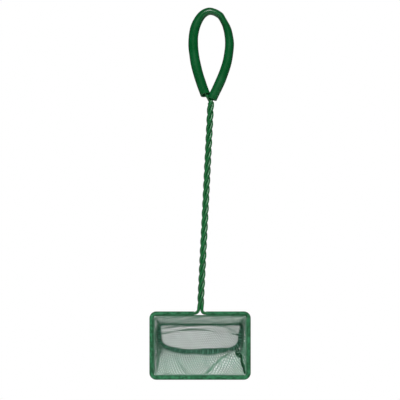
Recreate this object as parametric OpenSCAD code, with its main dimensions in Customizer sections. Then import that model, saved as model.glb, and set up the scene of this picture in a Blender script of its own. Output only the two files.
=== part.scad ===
// Aquarium fish net: a coated wire frame with a netting bag, a twisted wire shaft
// and a teardrop handle loop inside a soft vinyl grip tube.
// +Z is up as the net hangs, +X is right seen from the mouth side, and the bag
// goes back along +Y. The origin is the inside top of the handle loop.

/* [Net frame] */
// Outer width of the net frame over its sewn hem
frame_w = 80; // [60:1:120]
// Outer height of the net frame over its sewn hem
frame_h = 54; // [42:1:90]
// Outer radius of the frame's corners over the hem
corner_r = 5.5; // [5.2:0.1:9]

/* [Wire] */
// Diameter of the plastic coated wire
wire_d = 2.5; // [2:0.1:2.8]
// Diameter of the steel core inside the coating
core_d = 1.7; // [1.2:0.1:1.9]

/* [Twisted shaft] */
// Length of the shaft from the frame's top bar to the loop
shaft_l = 167.3; // [100:0.1:260]
// Lean of the shaft away from square to the frame, in degrees
shaft_lean = 2.9; // [0:0.1:8]
// Length along the shaft of one full turn of its three strands
twist_lead = 22.2; // [18:0.1:30]
// Radius of the bend from the top bar into the shaft
shaft_bend_r = 3; // [2:0.1:5]

/* [Handle loop] */
// Width of the loop between the middles of its two arms
loop_w = 28.8; // [22:0.1:45]
// Height of the loop from the twist to its crown
loop_h = 71; // [55:0.5:110]

/* [Grip tube] */
// Outer diameter of the vinyl tube where it is round
grip_d = 7.4; // [6.2:0.1:9]
// Wall thickness of the vinyl tube
grip_wall = 1; // [0.7:0.05:1.05]

/* [Hem] */
// Thickness of one layer of the hem tape
tape_t = 0.2; // [0.15:0.05:0.3]
// Width of the sewn flap inside the wire
flap_w = 1; // [0.8:0.1:1.8]
// Half of the hem's opening at the shaft
hem_slit = 4.8; // [4.6:0.1:8]
// Distance from one stitch to the next
stitch_pitch = 4.5; // [3:0.1:8]
// Length of one stitch
stitch_l = 2.6; // [1:0.1:2.8]
// Width of one stitch
stitch_w = 0.4; // [0.3:0.05:0.6]
// Height of a stitch above the tape
stitch_t = 0.2; // [0.1:0.05:0.4]

/* [Netting bag] */
// Depth of the bag behind the frame
bag_d = 40; // [25:1:75]
// Width of the bag's end over its seam
end_w = 68; // [50:1:76]
// Height of the bag's end over its seam
end_h = 24; // [18:1:36]
// How far the bag's end hangs above the frame's middle
end_rise = 3; // [0:0.1:6]
// Corner radius of the bag's end
end_r = 7; // [4:0.5:9]
// Thickness of the netting
net_t = 0.5; // [0.3:0.1:0.8]
// How far the end panel bellies out behind its seam
end_belly = 4; // [0:0.5:8]
// Width of the seam allowance around the bag's end
seam_w = 2.6; // [1.5:0.1:3.5]
// Thickness of the seam allowance
seam_t = 1; // [0.6:0.1:1.6]

/* [Hidden] */

// Clearance between pieces that lie against each other
fit = 0.02;
// Clearance between a soft piece and its neighbour
soft_fit = 0.05;
// How far a piece of the hem's flap runs on into the next one
flap_overrun = 0.5;
// Counts that set how finely curved pieces are drawn
wire_sides = 8;
rings_per_turn = 10;
bend_steps = 4;
spline_steps = 3;
grip_sides = 12;
seam_sides = 6;
panel_levels = 5;
corner_steps = 4;
side_steps = 8;
$fn = 48;

// Openings of the netting across the bag, up its sides and back to its end, which are far
// wider than the real mesh, and the width of what is between them over that of an opening
mesh_across = 12;
mesh_up = 5;
mesh_back = 6;
mesh_bar_share = 0.6;

// Route of the tube's middle, from its left end over the crown to its right end, as
// shares: place across half the loop's width, place up its height, and the tube's
// thickness in the loop's plane over its round diameter. The tube is squeezed where
// the wire inside it bends, at its crown and most of all between its two kinks.
tube_route_shares = [
    [-0.31, 0.071, 1], [-0.51, 0.188, 1], [-0.73, 0.337, 1], [-0.893, 0.492, 1],
    [-0.965, 0.645, 0.99], [-0.925, 0.76, 0.97], [-0.777, 0.866, 0.94], [-0.49, 0.957, 0.85],
    [-0.13, 1, 0.75], [0.2, 0.991, 0.7], [0.43, 0.966, 0.7], [0.54, 0.947, 0.69],
    [0.665, 0.907, 0.65], [0.805, 0.853, 0.7], [0.855, 0.827, 0.76], [0.929, 0.784, 0.81],
    [0.996, 0.717, 0.86], [1.025, 0.648, 0.9], [1.006, 0.579, 0.9], [0.943, 0.485, 0.93],
    [0.826, 0.388, 0.96], [0.605, 0.263, 0.98], [0.351, 0.145, 0.98], [0.1, 0.035, 1]
];
// The point of that route at the loop's crown
crown_knot = 8;
// Turn of the strands at the shaft's top, in degrees over whole turns from its foot
top_turn = 81;
// The least that is left over for the twist's easing at the frame, as a share of a turn
least_ease_share = 0.1;
// Length at the shaft's top over which the two wires of the loop leave the twist
neck_l = 2;
// How far the two wires stand to the right and left of the middle where they cross
cross_gap = [0.45, -0.6];
// Where the wire leaves the tube's left and right ends, as shares of the room that it has there
exit_shares = [0.55, -0.25];
// How the bag keeps its width before it tapers to its end, 1 being a straight taper
taper_share = 1.7;
// Where the side seam starts and ends, as shares of the bag's depth, clear of the flap and the end seam
side_seam_run_shares = [0.03, 0.98];

wire_r = wire_d / 2;
core_r = core_d / 2;
hem_r = wire_r + fit + tape_t;
bar_x = frame_w / 2 - hem_r;
bar_z = frame_h / 2 - hem_r;
bend_r = corner_r - hem_r;
// Three strands that touch lie further out the steeper they wind
touch_r = (wire_d + 2 * fit) / sqrt(3);
steepness = pow(2 * PI * touch_r / twist_lead, 2);
strand_r = touch_r / sqrt(1 - steepness / (4 - 2 * steepness));
// At the foot the right and left strands stand side by side before the back one
foot_x = strand_r * cos(30);
foot_y = strand_r * sin(30);
frame_opening = foot_x + shaft_bend_r;
slit = max(hem_slit, frame_opening + soft_fit);

crown_z = grip_d * tube_route_shares[crown_knot][2] / 2;
twist_top = [0, 0, crown_z - loop_h];
shaft_up = [sin(shaft_lean), 0, cos(shaft_lean)];
shaft_side = [cos(shaft_lean), 0, -sin(shaft_lean)];
shaft_foot = twist_top - shaft_l * shaft_up;
frame_mid = shaft_foot - [0, 0, bar_z];

// The twist: turns that fit the shaft, with what is left over spread as an easing at the frame
twist_l = shaft_l - shaft_bend_r;
turns = floor(twist_l / twist_lead - top_turn / 360 - least_ease_share) + top_turn / 360;
ease_l = 2 * (twist_l - turns * twist_lead);

flap_in = hem_r + flap_w;
stitch_line = hem_r + flap_w / 2;
// The netting meets the back of the flap just inside the stitches
mouth_in = stitch_line + stitch_w / 2 + soft_fit;
mouth_w = 2 * (bar_x - mouth_in);
mouth_h = 2 * (bar_z - mouth_in);
mouth_r = bend_r - mouth_in;
bag_back = tape_t + soft_fit;
end_mid = frame_mid + [0, bag_d, end_rise];
seam_mid_w = end_w - seam_w;
seam_mid_h = end_h - seam_w;

coat_color = [0.08, 0.42, 0.2];
steel_color = [0.62, 0.64, 0.66];
vinyl_color = [0.04, 0.37, 0.16];
tape_color = [0.07, 0.36, 0.2];
thread_color = [0.16, 0.52, 0.3];
netting_color = [0.7, 0.78, 0.71, 0.8];
seam_color = [0.1, 0.4, 0.22];

// Vectors, splines and swept shapes

function unit(v) = v / norm(v);
function mix(a, b, t) = a + (b - a) * t;
function pick(list, from, to) = [for (i = [from:from > to ? -1 : 1:to]) list[i]];

function spline_point(p0, p1, p2, p3, t) =
    0.5 * (2 * p1 + (p2 - p0) * t + (2 * p0 - 5 * p1 + 4 * p2 - p3) * t * t
        + (3 * p1 - p0 - 3 * p2 + p3) * t * t * t);

// A smooth line through the points, with a number of steps from each to the next
function spline(p, steps) = let (n = len(p) - 1) [
    for (i = [0:n - 1], j = [0:steps - 1])
        spline_point(p[max(i - 1, 0)], p[i], p[i + 1], p[min(i + 2, n)], j / steps),
    p[n]
];

function headings(p) = let (n = len(p) - 1)
    [for (i = [0:n]) unit(p[min(i + 1, n)] - p[max(i - 1, 0)])];

// One ring of points around a place, square to a heading
function ring(place, heading, across, r_across, r_along, sides) =
    let (u = unit(cross(heading, across)), v = cross(heading, u))
    [for (k = [0:sides - 1])
        place + u * r_across * cos(360 * k / sides) + v * r_along * sin(360 * k / sides)];

// Faces between rings that lie one after another in the point list
function skin(rings, sides, start, inward, closed) = [
    for (i = [0:rings - (closed ? 1 : 2)], k = [0:sides - 1])
        let (
            a = start + i * sides + k,
            b = start + i * sides + (k + 1) % sides,
            c = start + ((i + 1) % rings) * sides + k,
            d = start + ((i + 1) % rings) * sides + (k + 1) % sides
        )
        each (inward ? [[a, b, d], [a, d, c]] : [[a, d, b], [a, c, d]])
];

function cap(sides, start, flip) = [
    for (k = [1:sides - 2])
        flip ? [start, start + k + 1, start + k] : [start, start + k, start + k + 1]
];

// Flat faces between an outer ring and an inner one
function lip(sides, outer, inner, flip) = [
    for (k = [0:sides - 1])
        let (n = (k + 1) % sides)
        each (flip
            ? [[outer + k, inner + n, outer + n], [outer + k, inner + k, inner + n]]
            : [[outer + k, outer + n, inner + n], [outer + k, inner + n, inner + k]])
];

// A solid through a list of rings
module solid_sweep(rings) {
    sides = len(rings[0]);
    last = (len(rings) - 1) * sides;
    polyhedron(
        points = [for (r = rings) each r],
        faces = concat(skin(len(rings), sides, 0, false, false), cap(sides, 0, false), cap(sides, last, true))
    );
}

// A wall between an outer and an inner list of rings, open at both ends
module hollow_sweep(outer, inner) {
    sides = len(outer[0]);
    count = len(outer);
    start = count * sides;
    last = (count - 1) * sides;
    polyhedron(
        points = [for (r = concat(outer, inner)) each r],
        faces = concat(
            skin(count, sides, 0, false, false),
            skin(count, sides, start, true, false),
            lip(sides, 0, start, false),
            lip(sides, last, start + last, true)
        )
    );
}

// A ring shaped solid through rings that close on themselves
module closed_sweep(rings) {
    polyhedron(
        points = [for (r = rings) each r],
        faces = skin(len(rings), len(rings[0]), 0, false, true)
    );
}

// The wire: from its cut end at the shaft's top it goes down as the right strand, round
// the frame, up as the left strand, round the loop from right to left, and down again as
// the back strand to its other end at the shaft's foot. Side is 1, -1 or 0 for these strands.

// Turn of the twist at a height above the bend, in degrees
function twist_at(h) =
    360 / twist_lead * (h < ease_l ? h * h / (2 * ease_l) : h - ease_l / 2);

function foot_angle(side) = side == 0 ? 90 : 90 - 120 * side;

function strand_point(side, h) = let (a = twist_at(h) + foot_angle(side))
    shaft_foot + (shaft_bend_r + h) * shaft_up + strand_r * (cos(a) * shaft_side + sin(a) * [0, 1, 0]);

// A strand's bend out of the frame's top bar
function strand_bend(side) = [for (i = [0:bend_steps - 1])
    let (a = 90 * i / bend_steps, t = i / bend_steps)
    shaft_foot
        + side * (foot_x + shaft_bend_r * (1 - sin(a))) * mix([1, 0, 0], shaft_side, t)
        + shaft_bend_r * (1 - cos(a)) * mix([0, 0, 1], shaft_up, t)
        - [0, foot_y * t * t * (3 - 2 * t), 0]];

function strand_route(side) =
    let (top = twist_l - neck_l, n = ceil(top / twist_lead * rings_per_turn))
    concat(side == 0 ? [] : strand_bend(side), [for (i = [0:n]) strand_point(side, top * i / n)]);

function tube_point(i) = let (s = tube_route_shares[i])
    [s[0] * loop_w / 2, 0, twist_top[2] + s[1] * loop_h];

// Where the wire passes the neck, in front on its way to the right arm
function cross_point(front) =
    twist_top + [cross_gap[front ? 0 : 1], (front ? -1 : 1) * (wire_r + fit), 0];

function loop_route() =
    let (
        last = len(tube_route_shares) - 1,
        room = grip_d / 2 - grip_wall - wire_r,
        right = strand_route(-1),
        left = strand_route(0)
    )
    spline(concat(
        [right[len(right) - 1], cross_point(true), tube_point(last) + [exit_shares[1] * room, 0, 0]],
        [for (i = [last - 1:-1:1]) tube_point(i)],
        [tube_point(0) + [exit_shares[0] * room, 0, 0], cross_point(false), left[len(left) - 1]]
    ), spline_steps);

// The left strand, the loop and the back strand in one line
left_strand = strand_route(-1);
back_strand = strand_route(0);
loop_line = loop_route();
long_line = concat(
    left_strand,
    pick(loop_line, 1, len(loop_line) - 2),
    pick(back_strand, len(back_strand) - 1, 0)
);
loop_start = len(left_strand) - 1;
loop_end = len(long_line) - len(back_strand);

// Rings round a line of wire from one of its points to another
function wire_rings(line, first, r, from, to) = let (t = headings(line))
    [for (i = [from:to]) ring(line[i], i == 0 ? first : t[i], [0, 1, 0], r, r, wire_sides)];

function right_rings(r) = let (p = strand_route(1)) wire_rings(p, [-1, 0, 0], r, 0, len(p) - 1);
function left_rings(r) = wire_rings(long_line, [1, 0, 0], r, 0, loop_start);
function loop_rings(r) = wire_rings(long_line, [1, 0, 0], r, loop_start, loop_end);
function back_rings(r) = wire_rings(long_line, [1, 0, 0], r, loop_end, len(long_line) - 1);

module wire_core(rings) {
    color(steel_color) solid_sweep(rings);
}

module wire_coating(outer, inner) {
    color(coat_color) hollow_sweep(outer, inner);
}

bore_r = core_r + fit;
module shaft_core_right() wire_core(right_rings(core_r));
module shaft_core_left() wire_core(left_rings(core_r));
module shaft_core_back() wire_core(back_rings(core_r));
module shaft_coating_right() wire_coating(right_rings(wire_r), right_rings(bore_r));
module shaft_coating_left() wire_coating(left_rings(wire_r), left_rings(bore_r));
module shaft_coating_back() wire_coating(back_rings(wire_r), back_rings(bore_r));
module loop_core() wire_core(loop_rings(core_r));
module loop_coating() wire_coating(loop_rings(wire_r), loop_rings(bore_r));

// Vinyl tube over the loop's wire, squeezed where it bends

module grip_tube() {
    route = spline([for (i = [0:len(tube_route_shares) - 1])
        concat(tube_point(i), tube_route_shares[i][2] * grip_d / 2)], spline_steps);
    middle = [for (p = route) [p[0], p[1], p[2]]];
    t = headings(middle);
    // The tube keeps its girth, so it widens as it flattens
    wide = [for (p = route) sqrt(grip_d * grip_d / 2 - p[3] * p[3])];
    color(vinyl_color)
        hollow_sweep(
            [for (i = [0:len(t) - 1])
                ring(middle[i], t[i], [0, 1, 0], route[i][3], wide[i], grip_sides)],
            [for (i = [0:len(t) - 1])
                ring(middle[i], t[i], [0, 1, 0], route[i][3] - grip_wall, wide[i] - grip_wall, grip_sides)]
        );
}

// Frame: what is drawn in its plane is stood up square to Y

module in_frame_plane() {
    translate(frame_mid) rotate([90, 0, 0]) children();
}

// One straight run of a profile, on the side of the frame that faces an angle
module frame_run(angle, distance, length, along) {
    rotate([0, 0, angle]) translate([distance, along, 0])
        rotate([90, 0, 0]) linear_extrude(height = length, center = true) children();
}

// A profile carried round the frame, whose top bar is open for the shaft
module around_frame(opening) {
    top_l = bar_x - bend_r - opening;
    frame_run(0, bar_x, 2 * (bar_z - bend_r), 0) children();
    frame_run(180, bar_x, 2 * (bar_z - bend_r), 0) children();
    frame_run(270, bar_z, 2 * (bar_x - bend_r), 0) children();
    for (s = [-1, 1])
        frame_run(90, bar_z, top_l, s * (opening + top_l / 2)) children();
    for (q = [0:3])
        translate([(q == 0 || q == 3 ? 1 : -1) * (bar_x - bend_r), (q < 2 ? 1 : -1) * (bar_z - bend_r), 0])
            rotate([0, 0, 90 * q]) rotate_extrude(angle = 90) translate([bend_r, 0]) children();
}

module frame_core() {
    color(steel_color) in_frame_plane()
        around_frame(frame_opening) circle(r = core_r);
}

module frame_coating() {
    color(coat_color) in_frame_plane()
        around_frame(frame_opening) difference() {
            circle(r = wire_r);
            circle(r = bore_r);
        }
}

// Hem: a tape folded round the wire, with its two layers sewn together inside it

module flap_profile() {
    translate([-flap_in, -tape_t]) square([flap_w + tape_t / 2, 2 * tape_t]);
}

module hem_tape() {
    color(tape_color) in_frame_plane() {
        around_frame(slit) {
            difference() {
                circle(r = hem_r);
                circle(r = wire_r + fit);
            }
            flap_profile();
        }
        // The flap goes on past the slit
        frame_run(90, bar_z, 2 * (slit + flap_overrun), 0) flap_profile();
    }
}

module stitch_row(angle, distance, length) {
    count = max(1, floor((length - stitch_l) / stitch_pitch));
    for (i = [0:count], face = [-1, 1])
        rotate([0, 0, angle])
            translate([distance, (i - count / 2) * stitch_pitch, face * (tape_t + stitch_t / 2)])
                cube([stitch_w, stitch_l, stitch_t], center = true);
}

module hem_stitches() {
    color(thread_color) in_frame_plane()
        for (side = [0:3])
            stitch_row(90 * side, (side % 2 == 0 ? bar_x : bar_z) - stitch_line,
                2 * ((side % 2 == 0 ? bar_z : bar_x) - bend_r));
}

// Netting bag

// Shares of a length at which the netting's openings start and end in turn
function mesh_cuts(count) = let (whole = count + (count + 1) * mesh_bar_share)
    [for (i = [0:2 * count - 1]) ((floor(i / 2) + 1) * mesh_bar_share + ceil(i / 2)) / whole];

even_cuts = [for (i = [1:side_steps - 1]) i / side_steps];
bag_cuts = [mesh_cuts(mesh_across), mesh_cuts(mesh_up)];
bag_levels = concat([0], mesh_cuts(mesh_back), [1]);

// Points round a rectangle with round corners, the same number whatever its size. The cuts
// are where points lie on its long and short sides, as shares of them.
function round_rect(w, h, r, cuts = [even_cuts, even_cuts]) =
    let (
        corners = [for (q = [0:3])
            [(q == 0 || q == 3 ? 1 : -1) * (w / 2 - r), (q < 2 ? 1 : -1) * (h / 2 - r)]],
        at = function (q, a) corners[q] + r * [cos(a), sin(a)]
    )
    [for (q = [0:3])
        let (next = (q + 1) % 4)
        each concat(
            [for (i = [0:corner_steps]) at(q, 90 * (q + i / corner_steps))],
            [for (t = cuts[q % 2]) mix(at(q, 90 * (q + 1)), at(next, 90 * (q + 1)), t)]
        )];

// One level of the bag, from 0 at the mouth to 1 at its end
function bag_level(v, inset) =
    let (
        mouth = round_rect(mouth_w - 2 * inset, mouth_h - 2 * inset, max(mouth_r - inset, fit), bag_cuts),
        end = round_rect(seam_mid_w - 2 * inset, seam_mid_h - 2 * inset, end_r - inset, bag_cuts),
        t = pow(v, taper_share),
        back = mix(bag_back, bag_d - seam_t / 2 - soft_fit, v)
    )
    [for (k = [0:len(mouth) - 1])
        let (p = mix(mouth[k], end[k], t))
        frame_mid + [p[0], back, p[1] + end_rise * t]];

// Whether an opening starts at each point round the bag
bag_open = [for (q = [0:3]) each concat(
    [for (i = [0:corner_steps]) false],
    [for (i = [0:len(bag_cuts[q % 2]) - 1]) i % 2 == 0]
)];

// The point in the middle of each of the bag's corners, and again the first one
corner_mids = [for (q = [0:4]) corner_steps / 2 + q * (corner_steps + 1)
    + ceil(q / 2) * len(bag_cuts[0]) + floor(q / 2) * len(bag_cuts[1])];

// One level of a panel of the netting, clear of the next panels by half a clearance each
function panel_row(v, inset, q) =
    let (
        level = bag_level(v, inset),
        row = [for (k = [corner_mids[q]:corner_mids[q + 1]]) level[k % len(level)]],
        last = len(row) - 1
    )
    concat(
        [row[0] + unit(row[1] - row[0]) * soft_fit / 2],
        [for (i = [1:last - 1]) row[i]],
        [row[last] + unit(row[last - 1] - row[last]) * soft_fit / 2]
    );

// One panel of the netting: each cell of it that is no opening has its outer and its inner
// face, and an edge on each side where it has no neighbour
module net_panel(q) {
    n = corner_mids[q + 1] - corner_mids[q] + 1;
    rows = len(bag_levels);
    inner = rows * n;
    is_wall = function (j, i) j >= 0 && j < rows - 1 && i >= 0 && i < n - 1
        && !(j % 2 == 1 && bag_open[(corner_mids[q] + i) % len(bag_open)]);
    polyhedron(
        points = [for (inset = [0, net_t], v = bag_levels) each panel_row(v, inset, q)],
        faces = [for (j = [0:rows - 2], i = [0:n - 2])
            if (is_wall(j, i))
                let (
                    a = j * n + i,
                    loop = [a, a + 1, a + n + 1, a + n],
                    beside = [is_wall(j - 1, i), is_wall(j, i + 1), is_wall(j + 1, i), is_wall(j, i - 1)]
                )
                each concat(
                    [[loop[0], loop[1], loop[2]], [loop[0], loop[2], loop[3]]],
                    [[inner + loop[0], inner + loop[2], inner + loop[1]],
                        [inner + loop[0], inner + loop[3], inner + loop[2]]],
                    [for (e = [0:3])
                        if (!beside[e])
                            let (p = loop[e], r = loop[(e + 1) % 4])
                            each [[r, p, inner + p], [r, inner + p, inner + r]]]
                )]
    );
}

// The netting's four panels, which meet in the middle of the bag's corners
module net_body() {
    color(netting_color)
        for (q = [0:3])
            net_panel(q);
}

// One level of the end panel, from its middle out to its edge
function panel_level(share, back) =
    let (edge = round_rect(seam_mid_w - seam_w - 2 * soft_fit, seam_mid_h - seam_w - 2 * soft_fit,
        end_r - seam_w / 2))
    [for (p = edge) end_mid + [p[0] * share, back + end_belly * (1 - share * share), p[1] * share]];

// The panel's rings run from its middle out over the back and in again on the front,
// and the first and last are closed on a point in the middle
module net_end_panel() {
    shares = [for (j = [1:panel_levels]) j / panel_levels];
    rings = concat(
        [for (s = shares) panel_level(s, net_t / 2)],
        [for (j = [panel_levels - 1:-1:0]) panel_level(shares[j], -net_t / 2)]
    );
    sides = len(rings[0]);
    last = (len(rings) - 1) * sides;
    middle = len(rings) * sides;
    color(netting_color)
        polyhedron(
            points = concat(
                [for (r = rings) each r],
                [for (face = [1, -1]) end_mid + [0, end_belly + face * net_t / 2, 0]]
            ),
            faces = concat(
                skin(len(rings), sides, 0, false, false),
                [for (k = [0:sides - 1]) [middle, k, (k + 1) % sides]],
                [for (k = [0:sides - 1]) [middle + 1, last + (k + 1) % sides, last + k]]
            )
        );
}

module end_seam() {
    line = [for (p = round_rect(seam_mid_w, seam_mid_h, end_r)) end_mid + [p[0], 0, p[1]]];
    n = len(line);
    color(seam_color)
        closed_sweep([for (i = [0:n - 1])
            ring(line[i], unit(line[(i + 1) % n] - line[(i + n - 1) % n]), [0, 1, 0],
                seam_w / 2, seam_t / 2, seam_sides)]);
}

// The join of the bag's side wall, on its inside from the hem back to the end seam, in
// the last corner of the bag
module side_seam() {
    r = seam_w / 4;
    at = len(bag_open) - len(bag_cuts[1]) - 2;
    inside = [for (v = bag_levels)
        bag_level(mix(side_seam_run_shares[0], side_seam_run_shares[1], v), net_t + soft_fit + r)[at]];
    t = headings(inside);
    color(seam_color)
        solid_sweep([for (i = [0:len(t) - 1]) ring(inside[i], t[i], [1, 0, 1], r, r, seam_sides)]);
}

frame_core();
frame_coating();
shaft_core_right();
shaft_core_left();
shaft_core_back();
shaft_coating_right();
shaft_coating_left();
shaft_coating_back();
loop_core();
loop_coating();
grip_tube();
hem_tape();
hem_stitches();
net_body();
net_end_panel();
end_seam();
side_seam();
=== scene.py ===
"""Aquarium fish net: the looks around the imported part.

The coated wire, the vinyl grip tube, the sewn hem, the netting bag and its seams are made
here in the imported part's frame: +Z is up as the net hangs, +X is right seen from the mouth
side, and +Y goes back into the bag. Sizes are in millimetres, and turn into metres where a
mesh is made.
"""

from __future__ import annotations

import logging
import math
from dataclasses import dataclass, field
from enum import Enum
from typing import Any, Sequence

import bpy
import numpy as np
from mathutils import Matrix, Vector

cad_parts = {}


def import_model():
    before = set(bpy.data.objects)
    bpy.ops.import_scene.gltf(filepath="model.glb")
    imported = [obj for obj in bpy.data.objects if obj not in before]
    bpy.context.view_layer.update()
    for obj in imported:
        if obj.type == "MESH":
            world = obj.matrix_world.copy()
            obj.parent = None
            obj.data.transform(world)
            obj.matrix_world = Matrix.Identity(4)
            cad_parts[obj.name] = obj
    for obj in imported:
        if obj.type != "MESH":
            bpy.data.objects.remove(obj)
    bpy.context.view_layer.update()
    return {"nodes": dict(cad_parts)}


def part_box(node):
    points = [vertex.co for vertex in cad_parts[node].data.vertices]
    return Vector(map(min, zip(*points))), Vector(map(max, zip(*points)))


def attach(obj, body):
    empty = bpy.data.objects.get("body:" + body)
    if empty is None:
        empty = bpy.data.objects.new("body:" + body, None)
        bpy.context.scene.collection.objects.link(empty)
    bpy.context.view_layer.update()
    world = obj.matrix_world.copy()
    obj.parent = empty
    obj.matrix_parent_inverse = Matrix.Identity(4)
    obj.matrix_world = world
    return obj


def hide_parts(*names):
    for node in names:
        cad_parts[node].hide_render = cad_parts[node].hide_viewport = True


LOG = logging.getLogger("fish_net")

MM = 0.001
BODY = "root"
TURN = 2 * math.pi
X_AXIS, Y_AXIS, Z_AXIS = np.eye(3)

Points = np.ndarray
Triple = tuple[float, float, float]
Materials = dict[str, bpy.types.Material]


# Lines and shapes


def unit(vectors: Points) -> Points:
    """Scales vectors to a length of 1."""
    return vectors / np.maximum(np.linalg.norm(vectors, axis=-1, keepdims=True), 1e-12)


def mix(a: Any, b: Any, share: Any) -> Any:
    """Goes from a to b by a share of the way."""
    return a + (b - a) * share


def smooth_step(value: Any, low: float, high: float) -> Any:
    """Rises smoothly from 0 at low to 1 at high."""
    share = np.clip((value - low) / (high - low), 0.0, 1.0)
    return share * share * (3.0 - 2.0 * share)


def smooth_line(points: Any, steps: int, closed: bool = False) -> Points:
    """Draws a smooth line through points.

    Args:
        points: The points in order, each with any number of values.
        steps: How many steps go from each point to the next.
        closed: Whether the line comes back to its first point.

    Returns:
        The line's points. A closed line doesn't repeat its first point.
    """
    given = np.asarray(points, float)
    ends = (given[-1:], given[:2]) if closed else (given[:1], given[-1:])
    around = np.concatenate([ends[0], given, ends[1]])
    t = np.linspace(0.0, 1.0, steps, endpoint=False)[:, None]
    spans = []
    for p0, p1, p2, p3 in zip(around, around[1:], around[2:], around[3:]):
        bend = (2 * p0 - 5 * p1 + 4 * p2 - p3) * t**2 + (3 * p1 - p0 - 3 * p2 + p3) * t**3
        spans.append(0.5 * (2 * p1 + (p2 - p0) * t + bend))
    line = np.concatenate(spans)
    return line if closed else np.concatenate([line, given[-1:]])


def lengths_along(line: Points, closed: bool = False) -> Points:
    """Gives the length from a line's start to each point, and round to the start if closed."""
    full = np.concatenate([line, line[:1]]) if closed else line
    steps = np.linalg.norm(np.diff(full[:, :3], axis=0), axis=1)
    return np.concatenate([[0.0], np.cumsum(steps)])


def at_shares(line: Points, shares: Points, closed: bool = False) -> Points:
    """Picks a line's points at shares of its length, from 0 to 1."""
    full = np.concatenate([line, line[:1]]) if closed else line
    along = lengths_along(line, closed)
    wanted = np.asarray(shares) * along[-1]
    return np.stack([np.interp(wanted, along, full[:, i]) for i in range(full.shape[1])], axis=-1)


def even_rows(cloth: Points, rows: int) -> Points:
    """Spaces a cloth's rows evenly along each of its columns, and keeps a number of rows."""
    shares = np.linspace(0.0, 1.0, rows)
    return np.stack([at_shares(cloth[:, k], shares) for k in range(cloth.shape[1])], axis=1)


def mean_depth(cloth: Points) -> float:
    """Gives the mean length of a cloth's columns."""
    return float(np.mean([lengths_along(cloth[:, k])[-1] for k in range(cloth.shape[1])]))


def headings(line: Points, closed: bool = False) -> Points:
    """Gives the direction of a line at each of its points."""
    if closed:
        return unit(np.roll(line, -1, axis=0) - np.roll(line, 1, axis=0))
    return unit(np.gradient(line, axis=0))


def wander(places: Points, size: float, seed: int) -> Points:
    """Gives a smooth, repeatable random value from about -1 to 1 at each place.

    Args:
        places: Points in millimetres, in the last axis.
        size: The size of the swells in millimetres.
        seed: Which of the random fields to use.

    Returns:
        One value for each place.
    """
    random = np.random.default_rng(seed)
    waves, pitch_shares = 7, (0.7, 1.6)
    total = np.zeros(places.shape[:-1])
    for _ in range(waves):
        direction = unit(random.normal(size=places.shape[-1]))
        pitch = size * random.uniform(*pitch_shares)
        total += np.sin(TURN * (places @ direction) / pitch + random.uniform(0, TURN))
    return total / math.sqrt(waves)


def round_corner_line(half: Points, radius: float, steps: int, longest: float) -> Points:
    """Draws a rectangle with round corners in the X Z plane.

    Args:
        half: Half its width and half its height.
        radius: The radius of its corners.
        steps: Steps in each corner.
        longest: The longest step on its straight sides.

    Returns:
        Points from the middle of the top, going to the right and round, without the first again.
    """
    w, h = float(half[0]), float(half[1])
    line = [np.array([0.0, h])]
    for sx, sz, first in ((1, 1, 90), (1, -1, 0), (-1, -1, -90), (-1, 1, -180)):
        middle = np.array([sx * (w - radius), sz * (h - radius)])
        for i in range(steps + 1):
            a = math.radians(first - 90 * i / steps)
            line.append(middle + radius * np.array([math.cos(a), math.sin(a)]))
    line.append(line[0])
    dense = [line[0]]
    for a, b in zip(line, line[1:]):
        count = max(1, math.ceil(np.linalg.norm(b - a) / longest))
        dense += [mix(a, b, i / count) for i in range(1, count + 1)]
    flat = np.array(dense[:-1])
    return np.stack([flat[:, 0], np.zeros(len(flat)), flat[:, 1]], axis=-1)


# Meshes and objects


def link(thing: bpy.types.Object) -> bpy.types.Object:
    """Puts an object in the scene."""
    bpy.context.scene.collection.objects.link(thing)
    return thing


def mesh_piece(name: str, points: Points, faces: Sequence[Sequence[int]]) -> bpy.types.Object:
    """Makes a smooth mesh object at the origin, from points in millimetres and its faces."""
    mesh = bpy.data.meshes.new(name)
    mesh.from_pydata((points * MM).tolist(), [], [list(f) for f in faces])
    mesh.shade_smooth()
    return link(bpy.data.objects.new(name, mesh))


def grid_piece(
    name: str, rings: Points, closed: bool, measure: tuple[Points, Points] | None = None
) -> bpy.types.Object:
    """Makes a mesh from rings of points that lie one after another.

    Args:
        name: The piece's name.
        rings: Points in millimetres: ring, place in the ring, axis.
        closed: Whether the last ring joins the first. If not, a face closes each end.
        measure: Millimetres along at each ring and round at each place, one more of each where
            that way is closed, for the piece's UV map.

    Returns:
        The object, with its faces pointing the way that the rings turn.
    """
    count, sides = rings.shape[:2]
    spans = np.arange(count if closed else count - 1)
    i, k = np.meshgrid(spans, np.arange(sides), indexing="ij")
    spots = [(i, k), (i, k + 1), (i + 1, k + 1), (i + 1, k)]
    faces = np.stack([a % count * sides + b % sides for a, b in spots], axis=-1)
    faces = faces.reshape(-1, 4).tolist()
    if not closed:
        faces += [list(range(sides))[::-1], list(range((count - 1) * sides, count * sides))]
    piece = mesh_piece(name, rings.reshape(-1, 3), faces)
    if measure is not None:
        along, across = measure
        uv = np.stack([np.stack([along[a], across[b]], axis=-1) for a, b in spots], axis=2)
        layer = piece.data.uv_layers.new(name="cloth_mm").data
        corners = np.zeros(2 * len(layer), np.float32)
        corners[: uv.size] = uv.reshape(-1)
        layer.foreach_set("uv", corners)
    return piece


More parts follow.
